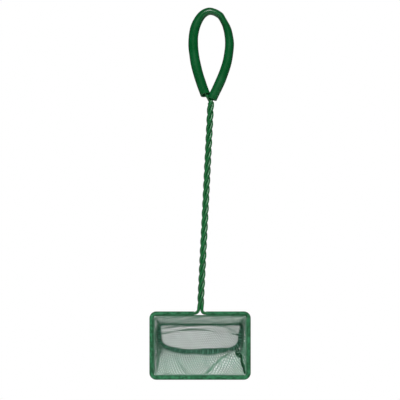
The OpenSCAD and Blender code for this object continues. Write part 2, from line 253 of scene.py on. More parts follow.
def curve_object(
    name: str, line: Points, closed: bool = False, radii: Points | None = None
) -> bpy.types.Object:
    """Makes a curve object of straight spans through points.

    Args:
        name: The object's name.
        line: The line's points in millimetres.
        closed: Whether the line comes back to its first point.
        radii: The line's radius at each point, as a node tree reads it.

    Returns:
        The curve object.
    """
    data = bpy.data.curves.new(name, "CURVE")
    data.dimensions = "3D"
    spline = data.splines.new("POLY")
    spline.points.add(len(line) - 1)
    places = np.concatenate([line[:, :3] * MM, np.ones((len(line), 1))], axis=1)
    spline.points.foreach_set("co", places.reshape(-1))
    if radii is not None:
        spline.points.foreach_set("radius", radii)
    spline.use_cyclic_u = closed
    return link(bpy.data.objects.new(name, data))


def joined(name: str, pieces: Sequence[bpy.types.Object]) -> bpy.types.Object:
    """Joins meshes into one piece."""
    points, faces, start = [], [], 0
    for piece in pieces:
        mesh = piece.data
        own = np.empty(len(mesh.vertices) * 3)
        mesh.vertices.foreach_get("co", own)
        points.append(own.reshape(-1, 3) / MM)
        faces += [[start + v for v in polygon.vertices] for polygon in mesh.polygons]
        start += len(mesh.vertices)
        bpy.data.objects.remove(piece)
    return mesh_piece(name, np.concatenate(points), faces)


def keep(
    piece: bpy.types.Object, material: bpy.types.Material, slot: str, *nodes: str
) -> bpy.types.Object:
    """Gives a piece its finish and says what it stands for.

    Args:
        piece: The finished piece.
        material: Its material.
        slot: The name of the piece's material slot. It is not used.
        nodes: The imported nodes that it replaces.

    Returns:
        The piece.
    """
    piece.data.materials.clear()
    piece.data.materials.append(material)
    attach(piece, BODY)
    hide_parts(*nodes)
    return piece


# Node trees

FLOAT, INTEGER, VECTOR = "NodeSocketFloat", "NodeSocketInt", "NodeSocketVector"
COLOUR, GEOMETRY, MATERIAL = "NodeSocketColor", "NodeSocketGeometry", "NodeSocketMaterial"
OBJECT = "NodeSocketObject"


class TreeBuilder:
    """Adds nodes to a tree, and links or sets their inputs in the same call."""

    def __init__(self, tree: bpy.types.NodeTree) -> None:
        """Keeps the tree that is built."""
        self.tree = tree

    def fill(self, node: Any, inputs: dict[Any, Any]) -> None:
        """Links a socket to, or sets a value on, each input, by its name or number."""
        for key, value in inputs.items():
            if isinstance(value, bpy.types.NodeSocket):
                self.tree.links.new(value, node.inputs[key])
            else:
                node.inputs[key].default_value = value

    def add(self, kind: str, inputs: dict[Any, Any] | None = None, **settings: Any) -> Any:
        """Adds a node.

        Args:
            kind: The node's type.
            inputs: A socket or a value for each input, by the input's name or number.
            settings: The node's own settings.

        Returns:
            The node's outputs.
        """
        node = self.tree.nodes.new(kind)
        for name, value in settings.items():
            setattr(node, name, value)
        self.fill(node, inputs or {})
        return node.outputs

    def out(self, kind: str, inputs: dict[Any, Any] | None = None, **settings: Any) -> Any:
        """Adds a node and gives its first output."""
        return self.add(kind, inputs, **settings)[0]

    def maths(self, operation: str, *values: Any) -> Any:
        """Adds a sum on single values and gives its result."""
        return self.out("ShaderNodeMath", dict(enumerate(values)), operation=operation)

    def vector(self, operation: str, *values: Any) -> Any:
        """Adds a sum on vectors and gives its result."""
        inputs = dict(enumerate(values))
        if operation == "SCALE":
            inputs["Scale"] = inputs.pop(1)
        return self.out("ShaderNodeVectorMath", inputs, operation=operation)

    def socket(self, name: str, kind: str, default: Any = None, output: bool = False) -> None:
        """Adds a named input or output to the tree."""
        made = self.tree.interface.new_socket(
            name=name, in_out="OUTPUT" if output else "INPUT", socket_type=kind
        )
        if default is not None:
            made.default_value = default


class MakerTree:
    """A Geometry Nodes tree that makes one kind of repeated or swept piece."""

    name = "maker"
    settings: dict[str, tuple[str, Any]] = {}

    def __init__(self) -> None:
        """Builds the tree with its named inputs."""
        self.nodes = TreeBuilder(bpy.data.node_groups.new(self.name, "GeometryNodeTree"))
        sockets = {"Geometry": (GEOMETRY, None), **self.settings, "Material": (MATERIAL, None)}
        for name, (kind, default) in sockets.items():
            self.nodes.socket(name, kind, default)
        self.nodes.socket("Geometry", GEOMETRY, output=True)
        self.inputs = self.nodes.add("NodeGroupInput")
        real = self.nodes.out("GeometryNodeRealizeInstances", {"Geometry": self.body()})
        dressed = self.nodes.out(
            "GeometryNodeSetMaterial", {"Geometry": real, "Material": self.inputs["Material"]}
        )
        self.nodes.add("NodeGroupOutput", {"Geometry": dressed})

    def body(self) -> Any:
        """Adds the nodes between the inputs and the finish, and gives the geometry."""
        raise NotImplementedError

    def sweep(self, line: Any, profile: Any) -> Any:
        """Sweeps a profile along a line, with closed ends and smooth sides."""
        swept = self.nodes.out(
            "GeometryNodeCurveToMesh", {"Curve": line, "Profile Curve": profile, "Fill Caps": True}
        )
        return self.nodes.out("GeometryNodeSetShadeSmooth", {"Geometry": swept})

    def profile(self, sides: Any, width: Any, scale: Any = None) -> Any:
        """Gives a circle drawn with a number of sides, squeezed by a scale if one is given."""
        radius = self.nodes.maths("MULTIPLY", width, 0.5)
        circle = self.nodes.out(
            "GeometryNodeCurvePrimitiveCircle", {"Resolution": sides, "Radius": radius}
        )
        if scale is None:
            return circle
        return self.nodes.out("GeometryNodeTransform", {"Geometry": circle, "Scale": scale})

    def looseness(self, swells: float) -> Any:
        """Gives a random offset at each place, from a number of swells for each metre."""
        noise = self.nodes.add(
            "ShaderNodeTexNoise",
            {"W": self.inputs["Seed"], "Scale": swells, "Detail": 1.0},
            noise_dimensions="4D",
        )
        centred = self.nodes.vector("SUBTRACT", noise["Color"], (0.5, 0.5, 0.5))
        return self.nodes.vector("SCALE", centred, self.inputs["Unevenness"])

    def run(self, name: str, source: bpy.types.Object, **values: Any) -> bpy.types.Object:
        """Runs the tree on a source object and keeps the result as a plain mesh.

        Args:
            name: The new piece's name.
            source: The curve or mesh that it is made from, which is removed.
            values: A value for each named input, with _ for spaces.

        Returns:
            The new piece.
        """
        modifier = source.modifiers.new(self.name, "NODES")
        modifier.node_group = self.nodes.tree
        for item in self.nodes.tree.interface.items_tree:
            key = item.name.lower().replace(" ", "_")
            if item.in_out == "INPUT" and key in values:
                modifier[item.identifier] = values[key]
        seen = source.evaluated_get(bpy.context.evaluated_depsgraph_get())
        mesh = bpy.data.meshes.new_from_object(seen)
        mesh.name = name
        source.modifiers.clear()
        bpy.data.objects.remove(source)
        return link(bpy.data.objects.new(name, mesh))


class WireMaker(MakerTree):
    """Sweeps a round wire along a line."""

    name = "Round wire"
    settings = {"Diameter": (FLOAT, 0.0025), "Sides": (INTEGER, 16)}

    def body(self) -> Any:
        """Sweeps a circle along the source curve."""
        profile = self.profile(self.inputs["Sides"], self.inputs["Diameter"])
        return self.sweep(self.inputs["Geometry"], profile)


class StitchMaker(MakerTree):
    """Lays stitches of twisted thread along a line, each one sunk into the cloth at its ends."""

    name = "Row of stitches"
    settings = {
        "Count": (INTEGER, 10),
        "Stitch Length": (FLOAT, 0.0026),
        "Thread Diameter": (FLOAT, 0.0004),
        "Sink": (FLOAT, 0.0003),
        "Plies Turn": (FLOAT, 9.0),
        "Face": (VECTOR, (0.0, -1.0, 0.0)),
    }
    points = 9
    arch_power = 5.0
    thread_sides = 6
    squeeze = (1.0, 0.62, 1.0)

    def body(self) -> Any:
        """Makes one stitch and sets copies of it along the source curve."""
        add, out, maths, given = self.nodes.add, self.nodes.out, self.nodes.maths, self.inputs
        half = maths("MULTIPLY", given["Stitch Length"], 0.5)
        start = out("ShaderNodeCombineXYZ", {"X": maths("MULTIPLY", half, -1.0)})
        end = out("ShaderNodeCombineXYZ", {"X": half})
        line = out("GeometryNodeCurvePrimitiveLine", {"Start": start, "End": end})
        fine = out("GeometryNodeResampleCurve", {"Curve": line, "Count": self.points})
        share = add("GeometryNodeSplineParameter")["Factor"]
        from_middle = maths("ABSOLUTE", maths("MULTIPLY_ADD", share, 2.0, -1.0))
        arch = maths("POWER", from_middle, self.arch_power)
        drop = maths("MULTIPLY", maths("MULTIPLY", arch, -1.0), given["Sink"])
        offset = out("ShaderNodeCombineXYZ", {"Z": drop})
        bent = out("GeometryNodeSetPosition", {"Geometry": fine, "Offset": offset})
        turn = maths("MULTIPLY", share, given["Plies Turn"])
        twisted = out("GeometryNodeSetCurveTilt", {"Curve": bent, "Tilt": turn})
        thread = self.profile(self.thread_sides, given["Thread Diameter"], self.squeeze)
        stitch = self.sweep(twisted, thread)
        places = add(
            "GeometryNodeCurveToPoints", {"Curve": given["Geometry"], "Count": given["Count"]}
        )
        forward = out("FunctionNodeAlignRotationToVector", {"Vector": places["Tangent"]}, axis="X")
        faced = out(
            "FunctionNodeAlignRotationToVector",
            {"Rotation": forward, "Vector": given["Face"]},
            axis="Z",
            pivot_axis="X",
        )
        return out(
            "GeometryNodeInstanceOnPoints",
            {"Points": places["Points"], "Instance": stitch, "Rotation": faced},
        )


class OverlockMaker(MakerTree):
    """Winds a thread round a seam's band, in even loops that lie on the band's cloth.

    The source curve is the band's middle line, and its radius is half the band's width.
    """

    name = "Overlock thread"
    settings = {
        "Band": (OBJECT, None),
        "Loop Pitch": (FLOAT, 0.0014),
        "Clearance": (FLOAT, 0.0022),
        "Depth Direction": (VECTOR, (0.0, 1.0, 0.0)),
        "Thread Diameter": (FLOAT, 0.0004),
        "Unevenness": (FLOAT, 0.0003),
        "Seed": (FLOAT, 1.0),
    }
    steps_per_loop = 11.0
    swells = 500.0
    sunk_share = 0.4
    thread_sides = 5

    def body(self) -> Any:
        """Winds a fine copy of the line round the band, and lays it on the band's surface."""
        add, out, maths = self.nodes.add, self.nodes.out, self.nodes.maths
        vector, given = self.nodes.vector, self.inputs
        pitch, depth_way = given["Loop Pitch"], given["Depth Direction"]
        step = maths("DIVIDE", pitch, self.steps_per_loop)
        fine = out(
            "GeometryNodeResampleCurve", {"Curve": given["Geometry"], "Length": step}, mode="LENGTH"
        )
        tangent = out("GeometryNodeInputTangent")
        side = vector("NORMALIZE", vector("CROSS_PRODUCT", tangent, depth_way))
        loops = maths("DIVIDE", add("GeometryNodeSplineParameter")["Length"], pitch)
        angle = maths("MULTIPLY", loops, TURN)
        across = maths("MULTIPLY", maths("COSINE", angle), out("GeometryNodeInputRadius"))
        deep = maths("MULTIPLY", maths("SINE", angle), given["Clearance"])
        swung = vector("ADD", vector("SCALE", side, across), vector("SCALE", depth_way, deep))
        offset = vector("ADD", swung, self.looseness(self.swells))
        wound = out("GeometryNodeSetPosition", {"Geometry": fine, "Offset": offset})
        band = add("GeometryNodeObjectInfo", {"Object": given["Band"]})["Geometry"]
        place = out("GeometryNodeInputPosition")
        near = add(
            "GeometryNodeProximity",
            {"Target": band, "Source Position": place},
            target_element="FACES",
        )["Position"]
        away = vector("NORMALIZE", vector("SUBTRACT", place, near))
        lift = maths("MULTIPLY", given["Thread Diameter"], self.sunk_share)
        resting = vector("ADD", near, vector("SCALE", away, lift))
        laid = out("GeometryNodeSetPosition", {"Geometry": wound, "Position": resting})
        plain = out("GeometryNodeSetCurveRadius", {"Curve": laid, "Radius": 1.0})
        return self.sweep(plain, self.profile(self.thread_sides, given["Thread Diameter"]))


class NettingMaker(MakerTree):
    """Knits a mesh of threads over a surface of triangles: one six sided hole round each point."""

    name = "Knitted netting"
    settings = {
        "Thread Width": (FLOAT, 0.0006),
        "Thread Thickness": (FLOAT, 0.0003),
        "Unevenness": (FLOAT, 0.0002),
        "Seed": (FLOAT, 3.0),
    }
    swells = 900.0
    thread_sides = 4

    def body(self) -> Any:
        """Turns the surface's triangles into six sided cells and their edges into flat threads."""
        add, out, given = self.nodes.add, self.nodes.out, self.inputs
        cells = out("GeometryNodeDualMesh", {"Mesh": given["Geometry"], "Keep Boundaries": True})
        offset = self.looseness(self.swells)
        uneven = out("GeometryNodeSetPosition", {"Geometry": cells, "Offset": offset})
        normal = out("GeometryNodeInputNormal")
        kept = out(
            "GeometryNodeStoreNamedAttribute",
            {"Geometry": uneven, "Name": "cloth_normal", "Value": normal},
            data_type="FLOAT_VECTOR",
            domain="POINT",
        )
        threads = out("GeometryNodeMeshToCurve", {"Mesh": kept})
        facing = add(
            "GeometryNodeInputNamedAttribute", {"Name": "cloth_normal"}, data_type="FLOAT_VECTOR"
        )["Attribute"]
        turned = out("GeometryNodeSetCurveNormal", {"Curve": threads, "Normal": facing}, mode="FREE")
        slim = self.nodes.maths("DIVIDE", given["Thread Thickness"], given["Thread Width"])
        scale = out("ShaderNodeCombineXYZ", {"X": slim, "Y": 1.0, "Z": 1.0})
        return self.sweep(turned, self.profile(self.thread_sides, given["Thread Width"], scale))


# Finishes


def shader_group(
    name: str, inputs: dict[str, tuple[str, Any]], outputs: dict[str, str]
) -> tuple[TreeBuilder, Any]:
    """Starts a shader group.

    Args:
        name: The group's name.
        inputs: The kind and the usual value of each input.
        outputs: The kind of each output.

    Returns:
        The builder and the group's input sockets.
    """
    nodes = TreeBuilder(bpy.data.node_groups.new(name, "ShaderNodeTree"))
    for key, (kind, default) in inputs.items():
        nodes.socket(key, kind, default)
    for key, kind in outputs.items():
        nodes.socket(key, kind, output=True)
    return nodes, nodes.add("NodeGroupInput")


def object_noise(nodes: TreeBuilder, scale: Any, detail: float) -> Any:
    """Gives noise that stays in place on an object."""
    place = nodes.add("ShaderNodeTexCoord")["Object"]
    return nodes.out("ShaderNodeTexNoise", {"Vector": place, "Scale": scale, "Detail": detail})


def mottle_group() -> bpy.types.NodeTree:
    """Builds a cloudy change between two colours, and between two values of roughness."""
    nodes, given = shader_group(
        "Mottle",
        {
            "Colour": (COLOUR, (0.5, 0.5, 0.5, 1.0)),
            "Other Colour": (COLOUR, (0.4, 0.4, 0.4, 1.0)),
            "Scale": (FLOAT, 100.0),
            "Smooth Value": (FLOAT, 0.3),
            "Rough Value": (FLOAT, 0.4),
        },
        {"Colour": COLOUR, "Roughness": FLOAT},
    )
    mask = nodes.out(
        "ShaderNodeMapRange",
        {"Value": object_noise(nodes, given["Scale"], 3.0), "From Min": 0.32, "From Max": 0.68},
        interpolation_type="SMOOTHSTEP",
    )
    colour_a, colour_b, colour_out = 6, 7, 2
    mixed = nodes.add(
        "ShaderNodeMix",
        {"Factor": mask, colour_a: given["Colour"], colour_b: given["Other Colour"]},
        data_type="RGBA",
    )[colour_out]
    rough = nodes.out(
        "ShaderNodeMapRange",
        {"Value": mask, "To Min": given["Smooth Value"], "To Max": given["Rough Value"]},
    )
    nodes.add("NodeGroupOutput", {"Colour": mixed, "Roughness": rough})
    return nodes.tree


def grain_group() -> bpy.types.NodeTree:
    """Builds the fine unevenness of a moulded or drawn surface."""
    nodes, given = shader_group(
        "Grain", {"Scale": (FLOAT, 2000.0), "Height": (FLOAT, 0.00002)}, {"Height": FLOAT}
    )
    noise = object_noise(nodes, given["Scale"], 2.0)
    nodes.add("NodeGroupOutput", {"Height": nodes.maths("MULTIPLY", noise, given["Height"])})
    return nodes.tree


def weave_group() -> bpy.types.NodeTree:
    """Builds the over and under of a plain weave, on a UV map in millimetres."""
    nodes, given = shader_group(
        "Weave",
        {"Threads": (FLOAT, 3.0), "Height": (FLOAT, 0.00008)},
        {"Height": FLOAT, "Mask": FLOAT},
    )
    maths = nodes.maths
    place = nodes.out("ShaderNodeUVMap", uv_map="cloth_mm")
    threads = nodes.vector("SCALE", place, given["Threads"])
    ways = nodes.add("ShaderNodeSeparateXYZ", {0: threads})[:2]
    warp, weft = [maths("ABSOLUTE", maths("SINE", maths("MULTIPLY", w, math.pi))) for w in ways]
    over = maths("PINGPONG", maths("ADD", *[maths("FLOOR", w) for w in ways]), 1.0)
    high = maths("MULTIPLY", warp, over)
    low = maths("MULTIPLY", weft, maths("SUBTRACT", 1.0, over))
    mask = maths("ADD", high, low)
    height = maths("MULTIPLY", mask, given["Height"])
    nodes.add("NodeGroupOutput", {"Mask": mask, "Height": height})
    return nodes.tree


@dataclass(frozen=True)
class Finish:
    """One material: two close colours, a range of roughness, a fine relief and, for woven cloth,
    painted shade where its threads dip under.

    Lengths of the relief are in metres, and scales are in swells for each metre.
    """

    name: str
    colour: Triple
    other: Triple
    roughness: tuple[float, float]
    mottle_scale: float = 100.0
    grain_scale: float = 2000.0
    grain_height: float = 0.00002
    weave_threads: float = 0.0
    weave_height: float = 0.00008
    painted_weave_shades: tuple[float, float] = (0.55, 1.1)
    specular: float = 0.5
    sheen: float = 0.0
    metallic: float = 0.0

    def build(self, groups: dict[str, bpy.types.NodeTree]) -> bpy.types.Material:
        """Makes the material from the shared shader groups."""
        material = bpy.data.materials.new(self.name)
        material.use_nodes = True
        material.diffuse_color = (*self.colour, 1.0)
        nodes = TreeBuilder(material.node_tree)
        mottle = nodes.add(
            "ShaderNodeGroup",
            {
                "Colour": (*self.colour, 1.0),
                "Other Colour": (*self.other, 1.0),
                "Scale": self.mottle_scale,
                "Smooth Value": self.roughness[0],
                "Rough Value": self.roughness[1],
            },
            node_tree=groups["mottle"],
        )
        colour = mottle["Colour"]
        height = nodes.out(
            "ShaderNodeGroup",
            {"Scale": self.grain_scale, "Height": self.grain_height},
            node_tree=groups["grain"],
        )
        if self.weave_threads:
            weave = nodes.add(
                "ShaderNodeGroup",
                {"Threads": self.weave_threads, "Height": self.weave_height},
                node_tree=groups["weave"],
            )
            height = nodes.maths("ADD", height, weave["Height"])
            # The weave's mask also scales the colour: darker between the threads and a little
            # lighter on their crowns. This is painted shade and painted highlight, on top of the
            # bump.
            low, high = self.painted_weave_shades
            painted_shade = nodes.out(
                "ShaderNodeMapRange", {"Value": weave["Mask"], "To Min": low, "To Max": high}
            )
            colour = nodes.vector("SCALE", colour, painted_shade)
        bump = nodes.out("ShaderNodeBump", {"Height": height, "Distance": 1.0})
        looks = {
            "Base Color": colour,
            "Roughness": mottle["Roughness"],
            "Normal": bump,
            "Specular IOR Level": self.specular,
            "Sheen Weight": self.sheen,
            "Metallic": self.metallic,
        }
        nodes.fill(material.node_tree.nodes["Principled BSDF"], looks)
        return material


FINISHES = {
    "coating": Finish(
        "Glossy green wire coating", (0.002, 0.085, 0.018), (0.004, 0.104, 0.025), (0.3, 0.37),
        mottle_scale=260.0, grain_scale=900.0, grain_height=0.000008, specular=0.4,
    ),
    "vinyl": Finish(
        "Soft green vinyl tube", (0.0006, 0.062, 0.013), (0.0012, 0.074, 0.018), (0.27, 0.34),
        mottle_scale=90.0, grain_scale=260.0, grain_height=0.00001, specular=0.34,
    ),
    "steel": Finish(
        "Drawn steel wire", (0.5, 0.51, 0.52), (0.42, 0.43, 0.44), (0.3, 0.45),
        mottle_scale=600.0, metallic=1.0,
    ),
    "tape": Finish(
        "Woven hem tape", (0.006, 0.082, 0.028), (0.035, 0.2, 0.088), (0.6, 0.75),
        mottle_scale=520.0, grain_height=0.00003, weave_threads=2.6, specular=0.25, sheen=0.05,
    ),
    "thread": Finish(
        "Twisted sewing thread", (0.045, 0.2, 0.085), (0.07, 0.26, 0.12), (0.45, 0.6),
        mottle_scale=900.0, specular=0.3,
    ),
    "netting": Finish(
        "Pale green netting thread", (0.1, 0.24, 0.155), (0.18, 0.35, 0.25), (0.5, 0.65),
        mottle_scale=130.0, grain_scale=4000.0, grain_height=0.00001, specular=0.2,
    ),
    "seam": Finish(
        "Green seam cloth", (0.14, 0.4, 0.27), (0.22, 0.5, 0.36), (0.6, 0.8),
        mottle_scale=500.0, weave_threads=2.0, specular=0.2,
    ),
    "overlock": Finish(
        "Dark green overlock thread", (0.003, 0.04, 0.014), (0.012, 0.085, 0.036), (0.5, 0.65),
        mottle_scale=700.0, specular=0.3,
    ),
}


def build_finishes() -> Materials:
    """Builds every material of the net, once."""
    groups = {"mottle": mottle_group(), "grain": grain_group(), "weave": weave_group()}
    return {key: finish.build(groups) for key, finish in FINISHES.items()}


# Where everything lies


def node_box(node: str) -> tuple[Points, Points]:
    """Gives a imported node's lowest and highest corners in millimetres."""
    low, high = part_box(node)
    return np.array(low) / MM, np.array(high) / MM


@dataclass
class Layout:
    """The sizes and places that the pieces share, in millimetres."""

    wire_d: float = 2.5
    tape: float = 0.2
    fit: float = 0.02
    loop_w: float = 28.8
    loop_h: float = 71.0
    grip_d: float = 7.4
    crown_share: float = 0.75
    mouth_in: float = 2.22
    frame_bend_r: float = 4.03
    frame_mid: Points = field(init=False)
    bar: Points = field(init=False)
    twist_top: Points = field(init=False)
    shaft_foot: Points = field(init=False)
    ring_half: Points = field(init=False)
    ring_mid: Points = field(init=False)

    def __post_init__(self) -> None:
        """Reads the frame's and the bag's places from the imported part."""
        low, high = node_box("frame_coating")
        self.frame_mid = (low + high) / 2
        self.bar = (high - low)[[0, 2]] / 2 - self.wire_d / 2
        crown = self.grip_d * self.crown_share / 2
        self.twist_top = np.array([0.0, 0.0, crown - self.loop_h])
        self.shaft_foot = self.frame_mid + np.array([0.0, 0.0, self.bar[1]])
        low, high = node_box("end_seam")
        self.ring_mid = (low + high) / 2 - self.frame_mid
        self.ring_half = (high - low)[[0, 2]] / 2

    @property
    def hem_r(self) -> float:
        """Outer radius of the hem round the wire."""
        return self.wire_d / 2 + self.fit + self.tape

    @property
    def mouth_half(self) -> Points:
        """Half the width and half the height of the netting's mouth."""
        return self.bar - self.mouth_in

    def near_shaft(self, line: Points, reach: float) -> Points:
        """Tells which of a frame line's points lie on the top bar, within reach of the shaft."""
        return (line[:, 2] > self.bar[1] - 0.01) & (np.abs(line[:, 0]) < reach)


# Coated wire


class Side(Enum):
    """The three strands of the shaft, by where they stand at its foot, and the turn of each."""

    RIGHT = -30.0
    LEFT = 210.0
    BACK = 90.0


@dataclass
class CoatedWire:
    """One coated wire: down the shaft, round the frame, up, round the loop and down again."""

    layout: Layout
    finishes: Materials
    tube: "GripTube"
    lead: float = 22.2
    foot_bend_r: float = 3.0
    top_turn: float = 81.0
    least_ease_share: float = 0.1
    neck_l: float = 2.0
    cross_gap: tuple[float, float] = (0.45, -0.6)
    exit_shares: tuple[float, float] = (0.85, -0.25)
    bare_end: float = 0.12
    tail: tuple[Triple, ...] = ((-0.02, 0.0, 0.5), (-0.1, 0.02, 1.0), (-0.22, 0.05, 1.5))
    tip_l: float = 0.7
    tip_share: float = 0.5
    tip_marks: tuple[float, ...] = (0.0, 0.12, 0.3, 0.6)
    frame_gap: float = 0.5
    longest_step: float = 6.0
    sides: int = 18
    steps_per_turn: int = 26
    bend_steps: int = 10
    loop_steps: int = 9

    def __post_init__(self) -> None:
        """Works out the shaft's direction, its twist and how far apart its strands lie."""
        span = self.layout.twist_top - self.layout.shaft_foot
        length = float(np.linalg.norm(span))
        self.up = span / length
        self.side = np.array([self.up[2], 0.0, -self.up[0]])
        self.twist_l = length - self.foot_bend_r
        part = self.top_turn / 360
        turns = math.floor(self.twist_l / self.lead - part - self.least_ease_share) + part
        self.ease_l = 2 * (self.twist_l - turns * self.lead)
        touch = (self.layout.wire_d + 2 * self.layout.fit) / math.sqrt(3)
        steep = (TURN * touch / self.lead) ** 2
        self.strand_r = touch / math.sqrt(1 - steep / (4 - 2 * steep))
        foot = math.radians(-Side.RIGHT.value)
        self.foot_x, self.foot_y = self.strand_r * math.cos(foot), self.strand_r * math.sin(foot)

    def turn_at(self, height: Any) -> Any:
        """Gives the twist's turn in radians at a height above the bend at the frame."""
        easing = height**2 / (2 * self.ease_l)
        eased = np.where(height < self.ease_l, easing, height - self.ease_l / 2)
        return TURN / self.lead * eased

    def bend(self, side: int) -> Points:
        """Gives a strand's bend out of the frame's top bar, to the right or the left."""
        share = np.linspace(0.0, 1.0, self.bend_steps, endpoint=False)[:, None]
        a = share * math.pi / 2
        away = side * (self.foot_x + self.foot_bend_r * (1 - np.sin(a)))
        return (
            self.layout.shaft_foot
            + away * mix(X_AXIS, self.side, share)
            + self.foot_bend_r * (1 - np.cos(a)) * mix(Z_AXIS, self.up, share)
            - self.foot_y * smooth_step(share, 0.0, 1.0) * Y_AXIS
        )

    def strand(self, side: Side) -> Points:
        """Gives one strand's middle line, from the frame or its cut end up to the neck."""
        top = self.twist_l - self.neck_l
        count = math.ceil(top / self.lead * self.steps_per_turn)
        h = np.linspace(0.0, top, count + 1)[:, None]
        turn = self.turn_at(h) + math.radians(side.value)
        twist = (
            self.layout.shaft_foot
            + (self.foot_bend_r + h) * self.up
            + self.strand_r * (np.cos(turn) * self.side + np.sin(turn) * Y_AXIS)
        )
        if side is Side.BACK:
            return twist
        return np.concatenate([self.bend(1 if side is Side.RIGHT else -1), twist])

    def cross_point(self, front: bool) -> Points:
        """Gives the place where the wire passes the neck, in front on its way to the right arm."""
        away = (self.layout.wire_d / 2 + self.layout.fit) * (-1 if front else 1)
        return self.layout.twist_top + np.array([self.cross_gap[0 if front else 1], away, 0.0])

    def loop(self, start: Points, end: Points) -> Points:
        """Gives the wire's line round the loop, from one strand's top to another's."""
        knots = self.tube.knots()[::-1, :3]
        room = self.layout.grip_d / 2 - self.tube.wall - self.layout.wire_d / 2
        knots[0, 0] += self.exit_shares[1] * room
        knots[-1, 0] += self.exit_shares[0] * room
        crossings = [self.cross_point(True)], [self.cross_point(False)]
        line = np.vstack([start[-1:], crossings[0], knots, crossings[1], end[-1:]])
        return smooth_line(line, self.loop_steps)

    def frame_run(self) -> Points:
        """Gives the frame's line from the right of the shaft, round and back to its left."""
        bar, radius = self.layout.bar, self.layout.frame_bend_r
        line = round_corner_line(bar, radius, self.bend_steps, self.longest_step)
        reach = self.foot_x + self.foot_bend_r + self.frame_gap
        return self.layout.frame_mid + line[~self.layout.near_shaft(line, reach)]

    def route(self) -> Points:
        """Gives the whole wire's middle line, from its end in the neck to its end at the foot."""
        right, left, back = (self.strand(side) for side in (Side.RIGHT, Side.LEFT, Side.BACK))
        tail = np.array(self.tail) @ np.array([self.side, Y_AXIS, self.up])
        parts = [(right[-1] + tail)[::-1], right[::-1], self.frame_run(), left]
        line = np.concatenate([*parts, self.loop(left, back)[1:-1], back[::-1]])
        along = lengths_along(line)
        last = along[-1] - self.bare_end
        kept = along[(along > self.tip_l) & (along < last)]
        marks = np.concatenate([self.tip_l * np.array(self.tip_marks), kept, [last]])
        return at_shares(line, marks / along[-1])

    def build(self) -> list[bpy.types.Object]:
        """Makes the wire's coating, from which the steel core stands out a little at the foot."""
        route = self.route()
        rounding = np.clip(1 - lengths_along(route) / self.tip_l, 0, 1)
        radii = 1 - (1 - self.tip_share) * (1 - np.sqrt(1 - rounding**2))
        wire = WireMaker().run(
            "coated_wire",
            curve_object("wire_line", route, radii=radii),
            diameter=self.layout.wire_d * MM,
            sides=self.sides,
            material=self.finishes["coating"],
        )
        nodes = ["frame_coating", "loop_coating"]
        nodes += [f"shaft_coating_{side.name.lower()}" for side in Side]
        return [keep(wire, self.finishes["coating"], "wire_coating", *nodes)]


# Grip tube


